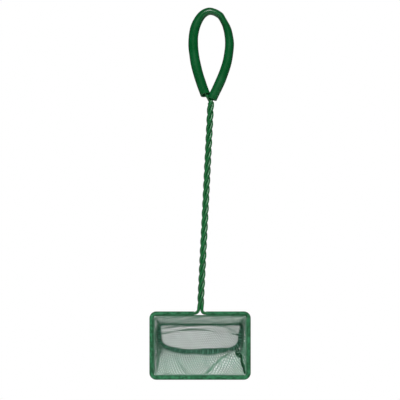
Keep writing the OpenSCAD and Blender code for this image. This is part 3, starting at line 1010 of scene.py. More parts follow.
@dataclass
class GripTube:
    """The vinyl tube over the loop, squeezed at its crown and kinked at two places."""

    layout: Layout
    finishes: Materials
    wall: float = 1.0
    lip: float = 0.42
    sides: int = 44
    steps: int = 11
    left_slant: float = 1.35
    right_slant: float = 0.3
    left_bevel: float = 0.2
    right_bevel: float = 0.2
    right_longer: float = 0.9
    slant_reach: float = 3.5
    closer: tuple[float, float] = (0.3, -0.25)
    closer_reach: float = 9.0
    kink_knots: tuple[int, ...] = (11, 14)
    ridge: float = 0.14
    ridge_reach: float = 1.5
    pinch: float = 0.06
    pinch_reach: float = 1.1
    lump: float = 0.05
    lump_size: float = 14.0
    fuller: float = 0.2
    end_marks: tuple[float, ...] = (0.04, 0.1, 0.18, 0.3, 0.5)
    kink_rows: list[int] = field(default_factory=list)
    route_shares: tuple[Triple, ...] = (
        (-0.31, 0.071, 1), (-0.51, 0.188, 1), (-0.73, 0.337, 1), (-0.893, 0.492, 1),
        (-0.965, 0.645, 0.99), (-0.925, 0.76, 0.97), (-0.777, 0.866, 0.94), (-0.49, 0.957, 0.85),
        (-0.13, 1, 0.75), (0.2, 0.991, 0.7), (0.43, 0.966, 0.7), (0.54, 0.947, 0.69),
        (0.665, 0.907, 0.65), (0.805, 0.853, 0.7), (0.855, 0.827, 0.76), (0.929, 0.784, 0.81),
        (0.996, 0.717, 0.86), (1.025, 0.648, 0.9), (1.006, 0.579, 0.9), (0.943, 0.485, 0.93),
        (0.826, 0.388, 0.96), (0.605, 0.263, 0.98), (0.351, 0.145, 0.98), (0.1, 0.035, 1),
    )

    def knots(self) -> Points:
        """Gives the route's own points, each with the tube's half thickness as a fourth value."""
        shares = np.array(self.route_shares, float)
        x = shares[:, 0] * self.layout.loop_w / 2
        z = self.layout.twist_top[2] + shares[:, 1] * self.layout.loop_h
        half = shares[:, 2] * self.layout.grip_d / 2
        return np.stack([x, np.zeros(len(x)), z, half], axis=-1)

    def rings(self, line: Points, less: Points) -> Points:
        """Draws the tube's section round each point of its line.

        Args:
            line: The route with the half thickness as its fourth value.
            less: How much smaller the section is at each point.

        Returns:
            Points: ring, place in the ring, axis.
        """
        heading = headings(line[:, :3])
        across = unit(np.cross(heading, Y_AXIS))
        wide = np.sqrt(np.maximum(self.layout.grip_d**2 / 2 - line[:, 3] ** 2, 0.1))
        flat = line[:, 3] + self.fuller
        a = np.linspace(0.0, TURN, self.sides, endpoint=False)
        along = lengths_along(line)
        outside, inside = np.clip(np.cos(a), 0, 1), np.clip(-np.cos(a), 0, 1)
        swell = np.zeros((len(line), self.sides))
        for row in self.kink_rows:
            away = np.abs(along - along[row])[:, None]
            swell += self.ridge * np.exp(-away / self.ridge_reach) * outside**2
            swell -= self.pinch * np.exp(-((away / self.pinch_reach) ** 2)) * inside**3
        reach_u = (flat - less)[:, None] + swell
        u = across[:, None, :] * (reach_u * np.cos(a))[..., None]
        v = Y_AXIS * ((wide - less)[:, None] * np.sin(a))[..., None]
        start = np.exp(-along / self.slant_reach)
        end = np.exp(-(along[-1] - along) / self.slant_reach)
        slant = (self.right_slant * end - self.left_slant * start)[:, None] * np.sin(a)
        slant -= (self.right_bevel * end - self.left_bevel * start)[:, None] * np.cos(a)
        slant += self.right_longer * end[:, None]
        points = line[:, None, :3] + u + v + heading[:, None, :] * slant[..., None]
        lumps = self.lump * wander(points, self.lump_size, 21)
        return points + unit(u + v) * lumps[..., None]

    def build(self) -> list[bpy.types.Object]:
        """Makes the tube with its wall and its two cut ends."""
        line = smooth_line(self.knots(), self.steps)
        along = lengths_along(line)
        fine = np.array(self.end_marks)
        shares = np.unique(np.concatenate([fine, along, along[-1] - fine])) / along[-1]
        knots = np.interp(along[:: self.steps] / along[-1], shares, np.arange(len(shares)))
        line = at_shares(line, shares)
        along = lengths_along(line)
        nearer = np.exp(-((along / self.closer_reach) ** 2)) * self.closer[0]
        nearer += np.exp(-(((along[-1] - along) / self.closer_reach) ** 2)) * self.closer[1]
        line[:, 0] += nearer
        self.kink_rows = [int(round(knots[k])) for k in self.kink_knots]
        from_end = np.minimum(along, along[-1] - along)
        bend = np.clip(1 - from_end / self.lip, 0.0, 1.0)
        softening = self.lip * (1 - np.sqrt(1 - bend**2))
        outer = self.rings(line, softening)
        inner = self.rings(line, self.wall - softening)
        tube = grid_piece("grip_tube_vinyl", np.concatenate([outer, inner[::-1]]), True)
        return [keep(tube, self.finishes["vinyl"], "grip_vinyl", "grip_tube")]


# Hem


@dataclass
class Hem:
    """Tape folded round the frame's wire and sewn to itself inside it, with its stitches."""

    layout: Layout
    finishes: Materials
    flap_w: float = 0.6
    slit: float = 4.8
    slit_step: float = 0.06
    stitch_pitch: float = 4.5
    stitch_l: float = 2.6
    stitch_d: float = 0.36
    sink: float = 0.3
    raised_share: float = 0.15
    pucker: float = 0.07
    pucker_shares: tuple[float, float] = (0.55, 0.45)
    lump_size: float = 5.0
    body_reach: float = 0.3
    corner_steps: int = 10
    ring_step: float = 0.8
    round_points: int = 26
    open_angle: float = 52.0
    root_share: float = 0.96

    @property
    def flap_in(self) -> float:
        """Distance of the flap's edge from the wire's middle."""
        return self.layout.hem_r + self.flap_w

    def profile(self, full: float) -> Points:
        """Draws the hem's section.

        Args:
            full: 1 where the tape goes round the wire, and 0 where only the flap goes on.

        Returns:
            Points with their distance inward from the wire and their place along Y.
        """
        r, t = self.layout.hem_r, self.layout.tape
        a = np.radians(np.linspace(self.open_angle, 360 - self.open_angle, self.round_points))
        circle = np.stack([r * np.cos(a), r * np.sin(a)], axis=-1)
        neck = np.array([[r * 0.94, -0.68], [r + 0.22, -0.36]])
        flap = np.array([[r + 0.55, -t], [self.flap_in - 0.08, -t], [self.flap_in, -t / 2]])
        mirror = np.array([[1.0, -1.0]])
        tape = []
        for part in (neck[::-1] * mirror, np.concatenate([circle, neck])):
            root = [np.full(len(part), r * self.root_share), np.clip(part[:, 1], -t, t)]
            tape.append(mix(np.stack(root, axis=-1), part, full))
        return np.concatenate([flap, flap[::-1] * mirror, *tape])

    def tape_piece(self) -> bpy.types.Object:
        """Sweeps the hem's section round the frame, puckered at its stitches."""
        bar, radius = self.layout.bar, self.layout.frame_bend_r
        line = round_corner_line(bar, radius, self.corner_steps, self.ring_step)
        steps = (-self.slit_step, self.slit_step)
        edges = [[side * self.slit + step, 0, bar[1]] for side in (1, -1) for step in steps]
        order = np.concatenate([line, np.array(edges)])
        turn = np.arctan2(order[:, 0], order[:, 2]) % TURN
        line = order[np.argsort(turn, kind="stable")]
        along = lengths_along(line, closed=True)
        inward = unit(np.cross(Y_AXIS, headings(line, closed=True)))
        slit_open = self.layout.near_shaft(line, self.slit)
        wave = np.cos(TURN * along[:-1] / self.stitch_pitch)
        lumps = wander(line, self.lump_size, 11)
        swells = 1 + self.pucker * (self.pucker_shares[0] * wave + self.pucker_shares[1] * lumps)
        rings = []
        for place, swell, way, is_open in zip(line, swells, inward, slit_open):
            section = self.profile(0.0 if is_open else 1.0)
            body = section[:, 0] < self.layout.hem_r + self.body_reach
            section = section * np.where(body[:, None], np.array([[1.0, swell]]), 1.0)
            rings.append(place + section[:, :1] * way + section[:, 1:] * Y_AXIS)
        rings = np.array(rings) + self.layout.frame_mid
        across = lengths_along(self.profile(1.0), closed=True)
        tape = grid_piece("hem_tape_sewn", rings[:, ::-1], True, (along, across[::-1]))
        return keep(tape, self.finishes["tape"], "hem_tape", "hem_tape")

    def stitch_piece(self) -> bpy.types.Object:
        """Sews a row of stitches along each side of the frame, on both faces of the flap."""
        inset = self.layout.hem_r + self.flap_w / 2
        lift = self.layout.tape + self.stitch_d * self.raised_share
        maker = StitchMaker()
        rows = []
        for face in (-1, 1):
            for side in range(4):
                away, reach = self.layout.bar if side % 2 == 0 else self.layout.bar[::-1]
                run = 2 * (reach - self.layout.frame_bend_r)
                count = max(1, math.floor((run - self.stitch_l) / self.stitch_pitch)) + 1
                half = (count - 1) * self.stitch_pitch / 2
                a = math.radians(90 * side)
                out = np.array([math.cos(a), 0, math.sin(a)])
                along = np.array([-math.sin(a), 0, math.cos(a)])
                middle = self.layout.frame_mid + out * (away - inset) + Y_AXIS * face * lift
                line = np.array([middle - along * half, middle + along * half])
                row = maker.run(
                    f"stitch_row_{side}_{face}",
                    curve_object("stitch_line", line),
                    count=count,
                    stitch_length=self.stitch_l * MM,
                    thread_diameter=self.stitch_d * MM,
                    sink=self.sink * MM,
                    face=(0.0, float(face), 0.0),
                    material=self.finishes["thread"],
                )
                rows.append(row)
        stitches = joined("hem_stitching", rows)
        return keep(stitches, self.finishes["thread"], "sewing_thread", "hem_stitches")

    def build(self) -> list[bpy.types.Object]:
        """Makes the tape and its stitches."""
        return [self.tape_piece(), self.stitch_piece()]


# Netting bag


@dataclass
class Fold:
    """A ridge in a cloth: where it runs, how high and wide it is, and how it draws cloth in."""

    start: tuple[float, float]
    end: tuple[float, float]
    height: float
    width: float
    pull: float = 0.0
    fade: float = 0.15
    pull_widths: float = 2.2

    def parts(self, x: Points, y: Points) -> tuple[Points, Points, Points]:
        """Gives the distance from the ridge, how much of it there is, and the way across it."""
        a, b = np.array(self.start), np.array(self.end)
        run = float(np.linalg.norm(b - a))
        d = (b - a) / run
        along = ((x - a[0]) * d[0] + (y - a[1]) * d[1]) / run
        off = (x - a[0]) * -d[1] + (y - a[1]) * d[0]
        fade = smooth_step(along, -self.fade, self.fade)
        fade = fade * smooth_step(-along, -1 - self.fade, -1 + self.fade)
        return off, fade, np.array([-d[1], d[0]])

    def lift(self, x: Points, y: Points) -> Points:
        """Gives how far the ridge lifts the cloth at places on it."""
        off, fade, _ = self.parts(x, y)
        return self.height * fade * np.exp(-((off / self.width) ** 2))

    def drawn(self, x: Points, y: Points) -> tuple[Points, Points]:
        """Moves places on the cloth towards the ridge, where its threads crowd together."""
        off, fade, across = self.parts(x, y)
        reach = self.pull_widths * self.width
        move = -self.pull * fade * off * np.exp(-((off / reach) ** 2))
        return x + move * across[0], y + move * across[1]


@dataclass
class NettingBag:
    """The side wall and the end panel, knitted over sagging cloth surfaces."""

    layout: Layout
    finishes: Materials
    mouth_r: float = 1.81
    mouth_steps: tuple[int, float] = (8, 1.0)
    wall_cell: float = 1.95
    wall_stretch: float = 1.65
    wall_thread: tuple[float, float] = (1.12, 0.4)
    panel_cell: float = 1.65
    panel_thread: tuple[float, float] = (0.66, 0.32)
    unevenness: float = 0.3
    wall_rows: int = 160
    depth_shares: tuple[float, float] = (0.006, 0.99)
    held_shares: tuple[float, float] = (0.08, 0.95)
    wall_depth: float = 42.0
    front_y: float = 0.25
    taper: float = 1.7
    sag: float = 2.0
    top_sag_share: float = 0.5
    sag_change: float = 6.0
    ruffle: float = 0.75
    ruffle_pitch: float = 4.1
    ruffle_wander: tuple[float, float] = (1.8, 26.0)
    gather_power: int = 5
    wall_swells: tuple[tuple[float, float, int, float], ...] = (
        (0.6, 18.0, 7, 1.0), (0.4, 7.0, 8, 0.5)
    )
    belly: float = 3.2
    belly_rise: float = 0.45
    belly_side_share: float = 2.8
    panel_rows: int = 240
    panel_swells: tuple[tuple[float, float, int], ...] = ((0.5, 13.0, 31), (0.2, 5.0, 32))
    panel_inset: float = 3.0
    full_lap: float = 1.2
    pleat_run: float = 2.5
    pleat_depths: Triple = (-0.75, 0.55, 0.0)
    ring_steps: int = 10
    ring_places: tuple[Triple, ...] = (
        (0.0, 14.75, 1.1), (8.0, 14.7, 1.0), (15.5, 14.7, 1.0), (24.0, 14.8, 1.1),
        (30.8, 14.7, 1.5), (33.4, 13.4, 2.0), (33.0, 10.4, 2.9), (32.6, 6.5, 3.4),
        (32.4, 2.6, 3.5), (31.0, -1.0, 3.3), (27.5, -4.1, 3.2), (23.0, -5.2, 3.2),
        (18.5, -5.8, 3.3), (13.0, -6.6, 4.2), (7.5, -7.0, 4.7), (2.0, -7.0, 4.2),
        (-3.5, -6.8, 3.5), (-9.0, -6.8, 3.4), (-16.0, -6.3, 3.7), (-23.0, -5.0, 3.1),
        (-29.0, -2.4, 3.2), (-32.2, 1.6, 3.3), (-32.7, 7.0, 3.2), (-32.7, 12.0, 2.4),
        (-31.0, 14.3, 1.6), (-22.0, 14.8, 1.1), (-11.0, 14.7, 1.0),
    )
    ring_size: tuple[float, float] = (68.0, 24.0)
    ring_rise: float = 3.0
    behind_seam: float = 0.55
    wall_edge: float = 0.9
    panel_edge: float = 0.5
    trial_rows: int = 40
    trial_panel: tuple[int, int] = (40, 80)
    trial_skip: int = 3
    corner_points: tuple[int, int, int, int] = (4, 9, 20, 24)

    def ring(self) -> Points:
        """Gives the end seam's middle line, from its top's middle to the right, and its width."""
        given = np.array(self.ring_places)
        scale = 2 * self.layout.ring_half / np.array(self.ring_size)
        mid = self.layout.ring_mid
        x = given[:, 0] * scale[0] + mid[0]
        z = (given[:, 1] - self.ring_rise) * scale[1] + mid[2]
        points = np.stack([x, np.full(len(x), mid[1]), z, given[:, 2]], axis=-1)
        return smooth_line(points, self.ring_steps, closed=True)

    def seam_edge(self, share: float) -> Points:
        """Gives the cloth's edge at the end seam, from its middle line at 0 to its rim at 1."""
        ring = self.ring()
        out = unit(np.cross(headings(ring[:, :3], closed=True), Y_AXIS))
        return ring[:, :3] + out * (share * ring[:, 3:] / 2) + self.behind_seam * Y_AXIS

    @property
    def ring_corners(self) -> list[int]:
        """The end seam's point numbers at its four corners."""
        return [c * self.ring_steps for c in self.corner_points]

    def around(self, line: Points, corners: Sequence[int], shares: Points) -> Points:
        """Picks points round a closed line so that its corners lie at the mouth's shares.

        Args:
            line: The closed line.
            corners: The line's point numbers at its four corners.
            shares: Places to pick, as shares of the way round from the top's middle.

        Returns:
            One point for each share.
        """
        along = lengths_along(line, closed=True)
        known = np.concatenate([[0.0], along[list(corners)], along[-1:]])
        marks = np.concatenate([[0.0], self.corner_shares(), [1.0]])
        return at_shares(line, np.interp(shares % 1.0, marks, known) / along[-1], closed=True)

    def corner_shares(self) -> Points:
        """Gives the shares of the way round the mouth at which its corners lie."""
        w, h = self.layout.mouth_half
        return np.array([w, w + 2 * h, 3 * w + 2 * h, 3 * w + 4 * h]) / (4 * (w + h))

    @property
    def girth(self) -> float:
        """The length round the mouth."""
        return 4 * float(sum(self.layout.mouth_half))

    def mouth(self) -> tuple[Points, list[int]]:
        """Gives the mouth's closed line and its corners' point numbers."""
        line = round_corner_line(self.layout.mouth_half, self.mouth_r, *self.mouth_steps)
        turns = ((1, 1), (1, -1), (-1, -1), (-1, 1))
        return line, [int(np.argmax(sx * line[:, 0] + sz * line[:, 2])) for sx, sz in turns]

    def wall(self, shares: Points, rows: int) -> Points:
        """Lays the side wall's cloth.

        Args:
            shares: Places round the bag.
            rows: How many rows go from the mouth to the end seam.

        Returns:
            Points relative to the frame's middle: row, place round, axis.
        """
        mouth, mouth_corners = self.mouth()
        inward_line = unit(np.cross(Y_AXIS, headings(mouth, closed=True)))
        mouth = np.concatenate([mouth, inward_line], axis=1)
        v = np.linspace(*self.depth_shares, self.wall_rows)[:, None]
        x, y = np.broadcast_arrays(shares[None, :] * self.girth, v * self.wall_depth)
        for fold in self.folds():
            x, y = fold.drawn(x, y)
        near_held, far_held = self.held_shares
        held = smooth_step(v, 0.0, near_held) * smooth_step(-v, -1.0, -far_held)
        s = mix(shares[None, :], x / self.girth, held)
        v = mix(v, y / self.wall_depth, held)
        near = self.around(mouth, mouth_corners, s)
        far = self.around(self.seam_edge(self.wall_edge), self.ring_corners, s)
        body = mix(near[..., :3], far, v[..., None] ** self.taper)
        body[..., 1] = mix(self.front_y, far[..., 1], v)
        slack = np.sin(math.pi * np.clip(v, 0, 1))
        lower = smooth_step(-body[..., 2], -self.sag_change, self.sag_change)
        body[..., 2] -= self.sag * slack * mix(self.top_sag_share, 1.0, lower)
        places = np.stack([x, y], axis=-1)
        drift, drift_size = self.ruffle_wander
        waves = np.sin(TURN * x / self.ruffle_pitch + drift * wander(places, drift_size, 5))
        lift = self.ruffle * np.clip(v, 0, 1) ** self.gather_power * waves
        for height, size, seed, power in self.wall_swells:
            lift += height * slack**power * wander(places, size, seed)
        for fold in self.folds():
            lift += fold.lift(x, y)
        return even_rows(body + lift[..., None] * near[..., 3:], rows)

    def folds(self) -> list[Fold]:
        """Gives the wall's main folds, in millimetres round from the top's middle and back."""
        w, h = (float(half) for half in self.layout.mouth_half)

        def bottom(x: float) -> float:
            return 2 * (w + h) - x

        def left_top(x: float) -> float:
            return 4 * (w + h) + x

        return [
            Fold((bottom(25.5), 38.0), (bottom(16.0), 29.0), 3.2, 2.2, 0.85),
            Fold((bottom(17.5), 30.0), (bottom(9.0), 20.0), 3.6, 2.4, 0.88),
            Fold((bottom(9.5), 21.0), (bottom(4.5), 6.0), 2.8, 2.2, 0.8),
            Fold((bottom(2.0), 36.0), (bottom(9.5), 24.0), -1.4, 1.6, 0.3),
            Fold((bottom(27.5), 30.0), (bottom(28.5), 6.0), 1.0, 0.9, 0.4),
            Fold((w - 10.0, 14.0), (w - 3.0, 37.0), 1.5, 1.1, 0.4),
            Fold((w - 24.0, 8.0), (w - 17.0, 34.0), 0.7, 1.6, 0.2),
            Fold((w + 9.0, 34.0), (w + 13.0, 10.0), 0.9, 1.5, 0.25),
            Fold((w + 24.0, 38.0), (w + 31.0, 12.0), 1.2, 1.6, 0.3),
            Fold((bottom(-22.0), 38.0), (bottom(-9.0), 8.0), 1.8, 1.6, 0.4),
            Fold((bottom(-30.0), 32.0), (bottom(-27.0), 6.0), 1.0, 1.4, 0.3),
            Fold((left_top(-w + 9.0), 14.0), (left_top(-w + 3.0), 36.0), 1.3, 1.4, 0.3),
        ]

    def panel(self, columns: int, rows: int) -> Points:
        """Lays the end panel's cloth inside the end seam.

        Args:
            columns: How many columns of points go across.
            rows: How many rows go from its top to its bottom.

        Returns:
            Points relative to the frame's middle: row, column, axis.
        """
        ring = self.seam_edge(self.panel_edge)
        marks = [*self.ring_corners, self.ring_corners[0] + len(ring)]
        closed = np.concatenate([ring, ring])
        right, bottom, left, top = (closed[a : b + 1] for a, b in zip(marks, marks[1:]))
        a = np.linspace(0, 1, columns)
        b = np.linspace(0, 1, self.panel_rows)
        top_line, bottom_line = at_shares(top, a), at_shares(bottom[::-1], a)
        left_line, right_line = at_shares(left[::-1], b), at_shares(right, b)
        aa, bb = a[None, :, None], b[:, None, None]
        top_mix = mix(top_line[0], top_line[-1], aa)
        corners = mix(top_mix, mix(bottom_line[0], bottom_line[-1], aa), bb)
        down = mix(top_line[None], bottom_line[None], bb)
        patch = down + mix(left_line[:, None], right_line[:, None], aa) - corners
        beside = np.minimum(aa, 1 - aa) * self.belly_side_share
        edge = np.minimum(beside, np.minimum(bb, 1 - bb))[..., 0]
        room = smooth_step(edge, 0.0, self.belly_rise)
        patch[..., 1] += self.belly * room
        lift = np.zeros(room.shape)
        for height, size, seed in self.panel_swells:
            lift += height * wander(patch[..., [0, 2]], size, seed)
        for fold in self.panel_creases():
            lift += fold.lift(patch[..., 0], patch[..., 2])
        patch[..., 1] -= np.sqrt(room) * lift
        return even_rows(self.pleated(patch, top_line, bottom_line), rows)

    @staticmethod
    def panel_creases() -> list[Fold]:
        """Gives the panel's creases, in millimetres right of and above the frame's middle."""
        return [
            Fold((22.0, 9.2), (31.0, 12.4), 1.5, 0.8),
            Fold((-10.0, 4.0), (-2.0, -3.0), 1.3, 1.2),
            Fold((12.0, 3.0), (27.0, -1.5), 0.6, 1.1),
            Fold((-28.0, 9.0), (-18.0, 4.0), 0.9, 1.2),
            Fold((-24.0, -2.5), (-12.0, 1.0), 0.7, 1.2),
        ]

    @staticmethod
    def pleats(x: Points) -> list[tuple[Points, Points]]:
        """Gives the height of each pleat's fold, and how far it overlaps, across the panel."""
        upper_x = [-33.0, -20.0, -9.6, 8.7, 16.0, 21.5, 27.0]
        upper_z = [9.5, 10.8, 11.5, 12.0, 10.7, 8.9, 6.8]
        upper_lap = [0.0, 3.2, 4.3, 4.0, 3.2, 1.8, 0.0]
        lower_x = [-31.0, -18.0, -9.6, 5.1, 9.4, 13.0]
        lower_z = [6.5, 7.8, 8.5, 8.2, 7.1, 6.5]
        lower_lap = [0.0, 1.6, 2.3, 1.8, 1.0, 0.0]
        return [
            (np.interp(x, upper_x, upper_z), np.interp(x, upper_x, upper_lap)),
            (np.interp(x, lower_x, lower_z), np.interp(x, lower_x, lower_lap)),
        ]

    def pleated(self, patch: Points, top: Points, bottom: Points) -> Points:
        """Folds the panel over itself along two pleats that fade out to the sides.

        Args:
            patch: The panel on a fine grid: row, column, axis.
            top: The panel's upper edge, a point for each column.
            bottom: The panel's lower edge.

        Returns:
            The grid with each column running down, back up behind itself and down again.
        """
        rows = patch.shape[0]
        height = top[:, 2] - bottom[:, 2]
        stops, depths = [np.zeros_like(height)], [np.zeros_like(height)]
        for z, lap in self.pleats(top[:, 0]):
            down = np.clip((top[:, 2] - z) / height, 0.02, 0.98)
            back = np.clip(down - lap / height, 0.01, 0.98)
            part = np.clip(lap / self.full_lap, 0, 1)
            stops += [down, back, np.clip(down + self.pleat_run / height, 0, 0.99)]
            depths += [depth * part for depth in self.pleat_depths]
        stops = np.array([*stops, np.ones_like(height)])
        depths = np.array([*depths, np.zeros_like(height)])
        runs = np.abs(np.diff(stops, axis=0)) + 1e-4
        marks = np.concatenate([np.zeros((1, len(height))), np.cumsum(runs, axis=0)])
        out = np.empty_like(patch)
        for k in range(patch.shape[1]):
            u = np.linspace(0, 1, rows) * marks[-1, k]
            b = np.interp(u, marks[:, k], stops[:, k]) * (rows - 1)
            for axis in range(3):
                out[:, k, axis] = np.interp(b, np.arange(rows), patch[:, k, axis])
            out[:, k, 1] += np.interp(u, marks[:, k], depths[:, k])
        return out

    def knit(
        self, name: str, cloth: Points, closed: bool, thread: tuple[float, float]
    ) -> bpy.types.Object:
        """Knits netting over a cloth of rows.

        Args:
            name: The piece's name.
            cloth: Points relative to the frame's middle: row, place, axis.
            closed: Whether the rows go all the way round.
            thread: The thread's width and thickness.

        Returns:
            The netting.
        """
        rows, count = cloth.shape[:2]
        moved = cloth.copy()
        following = np.roll(cloth, -1, axis=1)
        if not closed:
            following[:, -1] = cloth[:, -1]
        moved[1::2] = mix(cloth, following, 0.5)[1::2]
        faces = []
        for j in range(rows - 1):
            for k in range(count if closed else count - 1):
                a, b = j * count + k, j * count + (k + 1) % count
                c, d = a + count, b + count
                faces += [(a, b, c), (b, d, c)] if j % 2 == 0 else [(a, b, d), (a, d, c)]
        points = moved.reshape(-1, 3) + self.layout.frame_mid
        return NettingMaker().run(
            name,
            mesh_piece(f"{name}_surface", points, faces),
            thread_width=thread[0] * MM,
            thread_thickness=thread[1] * MM,
            unevenness=self.unevenness * MM,
            material=self.finishes["netting"],
        )

    def build(self) -> list[bpy.types.Object]:
        """Makes the side wall and the end panel."""
        row_share = math.sqrt(3) / 2
        columns = round(self.girth / self.wall_cell)
        shares = np.arange(columns) / columns
        depth = mean_depth(self.wall(shares, self.trial_rows))
        rows = round(depth / (self.wall_cell * row_share * self.wall_stretch)) + 1
        body = self.knit("net_bag", self.wall(shares, rows), True, self.wall_thread)
        body = keep(body, self.finishes["netting"], "netting", "net_body")
        panel_w = 2 * self.layout.ring_half[0] - self.panel_inset
        trial = self.panel(*self.trial_panel)[:, self.trial_skip : -self.trial_skip]
        panel_h = mean_depth(trial)
        rows = round(panel_h / (self.panel_cell * row_share)) + 1
        panel = self.panel(round(panel_w / self.panel_cell) + 1, rows)
        end = self.knit("net_end", panel, False, self.panel_thread)
        end = keep(end, self.finishes["netting"], "netting", "net_end_panel")
        self.girth * MM
        return [body, end]


# Seams


@dataclass
class Seams:
    """The overlocked seam round the bag's end, and the join of its side wall."""

    layout: Layout
    finishes: Materials
    bag: NettingBag
    loop_pitch: float = 1.9
    thread_d: float = 0.66
    thread_swing: float = 0.6
    unevenness: float = 0.9
    thickness: float = 0.8
    squareness: float = 0.8
    edge_thickness: float = 0.75
    edge_swell: float = 0.1
    edge_size: float = 7.0
    edge_beat: float = 0.06
    ruffle: float = 0.7
    ruffle_pitch: float = 4.4
    ruffle_wander: tuple[float, float] = (1.1, 30.0)
    ruffle_width: float = 3.4
    most_ruffle: float = 1.3
    round_points: int = 14
    side_share_in: float = 0.004
    side_rows: int = 60
    side_points: int = 50
    side_inset: Triple = (-0.35, 0.0, 0.35)
    side_direction: Triple = (0.7, 0.0, -0.7)
    side_widths: tuple[tuple[float, float], ...] = (
        (0.03, 1.5), (0.55, 1.7), (0.72, 2.4), (0.84, 4.6), (0.92, 6.6), (0.98, 6.0)
    )
    side_turn: tuple[float, float] = (0.68, 0.88)
    side_shift: Triple = (-1.8, 0.0, -3.2)

    def band(self, name: str, line: Points, thick: Points, closed: bool) -> bpy.types.Object:
        """Makes a seam's band of folded cloth, ruffled along its outer edge.

        Args:
            name: The piece's name.
            line: The band's middle line, with its width as a fourth value.
            thick: The direction of the band's thickness at each point.
            closed: Whether the band closes on itself.

        Returns:
            The band.
        """
        middle, width = line[:, :3], line[:, 3]
        across = unit(np.cross(headings(middle, closed), thick))
        along = lengths_along(line, closed)
        waves = max(1, round(along[-1] / self.ruffle_pitch))
        drift, drift_size = self.ruffle_wander
        phase = TURN * waves * along[: len(line)] / along[-1]
        phase = phase + drift * wander(middle, drift_size, 41)
        a = np.linspace(0, TURN, self.round_points, endpoint=False)
        out = np.sign(np.cos(a)) * np.abs(np.cos(a)) ** self.squareness
        edge = 1 + self.edge_swell * wander(middle, self.edge_size, 42)
        edge = edge + self.edge_beat * np.sin(2 * phase)
        reach = (width / 2 * edge)[:, None] * out
        swing = self.ruffle * np.minimum(width / self.ruffle_width, self.most_ruffle)
        fullness = mix(self.edge_thickness, 1.0, np.abs(np.sin(a)))
        depth = self.thickness / 2 * np.sin(a)[None, :] * fullness
        depth = depth + (swing * np.sin(phase))[:, None] * (0.5 - 0.5 * out[None, :])
        rings = middle[:, None] + across[:, None] * reach[..., None]
        rings = rings + thick[:, None] * depth[..., None]
        measure = np.linspace(0, 2 * (float(width.mean()) + self.thickness), self.round_points + 1)
        return grid_piece(name, rings[:, ::-1], closed, (along, measure[::-1]))

    def overlock(
        self, name: str, line: Points, band: bpy.types.Object, thick: Points, closed: bool
    ) -> bpy.types.Object:
        """Winds a thread round a band.

        Args:
            name: The piece's name.
            line: The band's middle line, with its width as a fourth value.
            band: The band.
            thick: The direction of the band's thickness at each point.
            closed: Whether the band closes on itself.

        Returns:
            The thread.
        """
        return OverlockMaker().run(
            name,
            curve_object(f"{name}_line", line, closed=closed, radii=line[:, 3] / 2 * MM),
            band=band,
            loop_pitch=self.loop_pitch * MM,
            clearance=(self.thickness / 2 + self.ruffle + self.thread_swing) * MM,
            depth_direction=tuple(float(t) for t in thick[0]),
            thread_diameter=self.thread_d * MM,
            unevenness=self.unevenness * MM,
            material=self.finishes["overlock"],
        )

    def side_line(self) -> Points:
        """Gives the side seam's line on the wall, from the frame's corner to the end seam."""
        share = self.bag.corner_shares()[1] - self.side_share_in
        column = self.bag.wall(np.array([share]), self.side_rows)[:, 0]
        given = np.array(self.side_widths)
        shares = np.linspace(given[0, 0], given[-1, 0], self.side_points)
        gathered = smooth_step(shares, *self.side_turn)[:, None] * np.array(self.side_shift)
        width = np.interp(shares, given[:, 0], given[:, 1])[:, None]
        line = at_shares(column, shares) + np.array(self.side_inset) + gathered
        return np.concatenate([line, width], axis=1)

    def side_thick(self, line: Points) -> Points:
        """Gives the side seam's thickness direction, which turns to the mouth near the end seam."""
        along = lengths_along(line)
        turned = smooth_step(along / along[-1], *self.side_turn)[:, None]
        return unit(mix(unit(np.array(self.side_direction)), Y_AXIS, turned))

    def build(self) -> list[bpy.types.Object]:
        """Makes both seams, each a band of cloth under its overlock thread."""
        shift = np.append(self.layout.frame_mid, 0.0)
        ring, side = self.bag.ring() + shift, self.side_line() + shift
        ring_thick = np.broadcast_to(Y_AXIS, (len(ring), 3))
        cloth, dark = self.finishes["seam"], self.finishes["overlock"]
        pieces = []
        for name, node, line, thick, closed, finish in (
            ("end_seam", "end_seam", ring, ring_thick, True, cloth),
            ("side_seam_join", "side_seam", side, self.side_thick(side), False, dark),
        ):
            band = self.band(f"{name}_band", line, thick, closed)
            thread = self.overlock(f"{name}_overlock", line, band, thick, closed)
            pieces.append(keep(band, finish, "seam_thread", node))
            pieces.append(keep(thread, dark, "seam_thread", node))
        return pieces


# Studio


